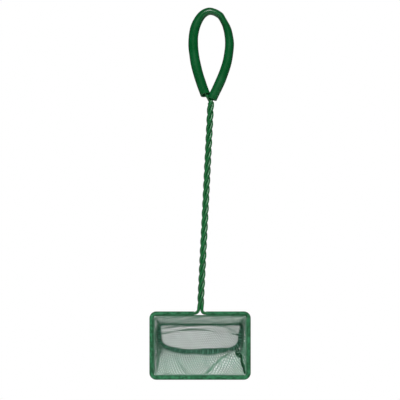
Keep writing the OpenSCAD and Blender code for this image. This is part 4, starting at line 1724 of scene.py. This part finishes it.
@dataclass
class Studio:
    """Plain pale floor, soft lamps and the camera at the photograph's place, in metres."""

    camera_at: Triple = (-0.00852, -2.0, -0.14597)
    seen_width: float = 0.3156
    sensor: float = 36.0
    seen_depth: float = 50.0
    floor_z: float = -0.345
    floor_r: float = 0.65
    floor_fade: tuple[float, float] = (0.25, 0.55)
    floor_grey: float = 0.82
    floor_sides: int = 96
    ambient: float = 0.09
    reflected: tuple[float, float] = (0.012, 0.25)
    reflected_from: float = -0.2
    aim: Triple = (-0.004, 0.0, -0.15)

    def camera(self) -> None:
        """Makes the camera."""
        data = bpy.data.cameras.new("camera")
        data.sensor_width = self.sensor
        data.lens = self.sensor * -self.camera_at[1] / self.seen_width
        data.clip_end = self.seen_depth
        camera = link(bpy.data.objects.new("camera", data))
        camera.location = self.camera_at
        camera.rotation_euler = (math.radians(90), 0.0, 0.0)
        bpy.context.scene.camera = camera

    def world(self) -> None:
        """Makes a surround that is white to the camera, and dimmer as a light and in reflections."""
        world = bpy.data.worlds.new("studio")
        bpy.context.scene.world = world
        world.use_nodes = True
        nodes = TreeBuilder(world.node_tree)
        rays = nodes.add("ShaderNodeLightPath")
        seen = nodes.maths("MAXIMUM", rays["Is Camera Ray"], rays["Is Transmission Ray"])
        way = nodes.add("ShaderNodeSeparateXYZ", {0: nodes.add("ShaderNodeTexCoord")["Generated"]})
        low, high = self.reflected
        behind = nodes.out(
            "ShaderNodeMapRange",
            {"Value": way["Y"], "From Min": self.reflected_from, "To Min": low, "To Max": high},
        )
        glossy = nodes.maths("MULTIPLY", rays["Is Glossy Ray"], behind)
        plain = nodes.maths("SUBTRACT", 1.0, rays["Is Glossy Ray"])
        ambient = nodes.maths("MULTIPLY", plain, self.ambient)
        strength = nodes.maths("MAXIMUM", nodes.maths("MAXIMUM", seen, glossy), ambient)
        white = (1.0, 1.0, 1.0, 1.0)
        nodes.fill(world.node_tree.nodes["Background"], {"Color": white, "Strength": strength})

    def floor(self) -> None:
        """Makes a round pale floor that fades to white at its rim, and is clear from below."""
        material = bpy.data.materials.new("Pale floor")
        material.use_nodes = True
        nodes = TreeBuilder(material.node_tree)
        place = nodes.add("ShaderNodeTexCoord")["Object"]
        flat = nodes.vector("MULTIPLY", place, (1.0, 1.0, 0.0))
        distance = nodes.add("ShaderNodeVectorMath", {0: flat}, operation="LENGTH")["Value"]
        near, far = self.floor_fade
        rim = nodes.out(
            "ShaderNodeMapRange",
            {"Value": distance, "From Min": near, "From Max": far},
            interpolation_type="SMOOTHSTEP",
        )
        bright = nodes.maths("MULTIPLY", rim, nodes.add("ShaderNodeLightPath")["Is Camera Ray"])
        grey = (self.floor_grey, self.floor_grey, self.floor_grey, 1.0)
        matte = nodes.out("ShaderNodeBsdfDiffuse", {"Color": grey})
        glow = nodes.out("ShaderNodeEmission", {"Strength": 1.0})
        blend = nodes.out("ShaderNodeMixShader", {0: bright, 1: matte, 2: glow})
        below = nodes.add("ShaderNodeNewGeometry")["Backfacing"]
        clear = nodes.out("ShaderNodeBsdfTransparent")
        seen = nodes.out("ShaderNodeMixShader", {0: below, 1: blend, 2: clear})
        nodes.fill(material.node_tree.nodes["Material Output"], {"Surface": seen})
        a = np.linspace(0, TURN, self.floor_sides, endpoint=False)
        rim_points = np.stack([np.cos(a), np.sin(a), np.zeros(len(a))], axis=-1) * self.floor_r
        points = (rim_points + np.array([0.0, 0.0, self.floor_z])) / MM
        floor = mesh_piece("floor", points, [list(range(self.floor_sides))])
        floor.data.materials.append(material)

    def lamp(self, name: str, place: Triple, size: float, power: float, shines: bool) -> None:
        """Makes a square soft lamp that points at the net's middle, and may show in reflections."""
        data = bpy.data.lights.new(name, "AREA")
        data.shape = "SQUARE"
        data.size = size
        data.energy = power
        lamp = link(bpy.data.objects.new(name, data))
        lamp.location = place
        lamp.visible_glossy = shines
        aim = Vector(self.aim) - Vector(place)
        lamp.rotation_euler = aim.to_track_quat("-Z", "Y").to_euler()

    def build(self) -> None:
        """Makes the camera, the surround, the floor and the lamps."""
        bpy.context.scene.view_settings.view_transform = "Standard"
        self.camera()
        self.world()
        self.floor()
        self.lamp("key_lamp", (-0.16, -1.4, 1.02), 0.4, 37.0, True)
        self.lamp("fill_lamp", (0.35, -1.9, -0.3), 0.9, 6.0, False)
        self.lamp("back_lamp", (0.3, 1.6, 0.7), 0.9, 10.0, False)


def dress_cores(nodes: dict[str, bpy.types.Object], steel: bpy.types.Material) -> None:
    """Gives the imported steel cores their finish."""
    for name, node in nodes.items():
        if "_core" in name:
            node.data.materials.clear()
            node.data.materials.append(steel)


def main() -> None:
    """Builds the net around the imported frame."""
    logging.basicConfig(level=logging.INFO, format="%(name)s: %(message)s")
    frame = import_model()
    layout = Layout()
    finishes = build_finishes()
    tube = GripTube(layout, finishes)
    bag = NettingBag(layout, finishes)
    assemblies = [
        CoatedWire(layout, finishes, tube),
        tube,
        Hem(layout, finishes),
        bag,
        Seams(layout, finishes, bag),
    ]
    for assembly in assemblies:
        for piece in assembly.build():
            LOG.info("%s has %d faces", piece.name, len(piece.data.polygons))
    dress_cores(frame["nodes"], finishes["steel"])
    Studio().build()


if __name__ == "__main__":
    main()
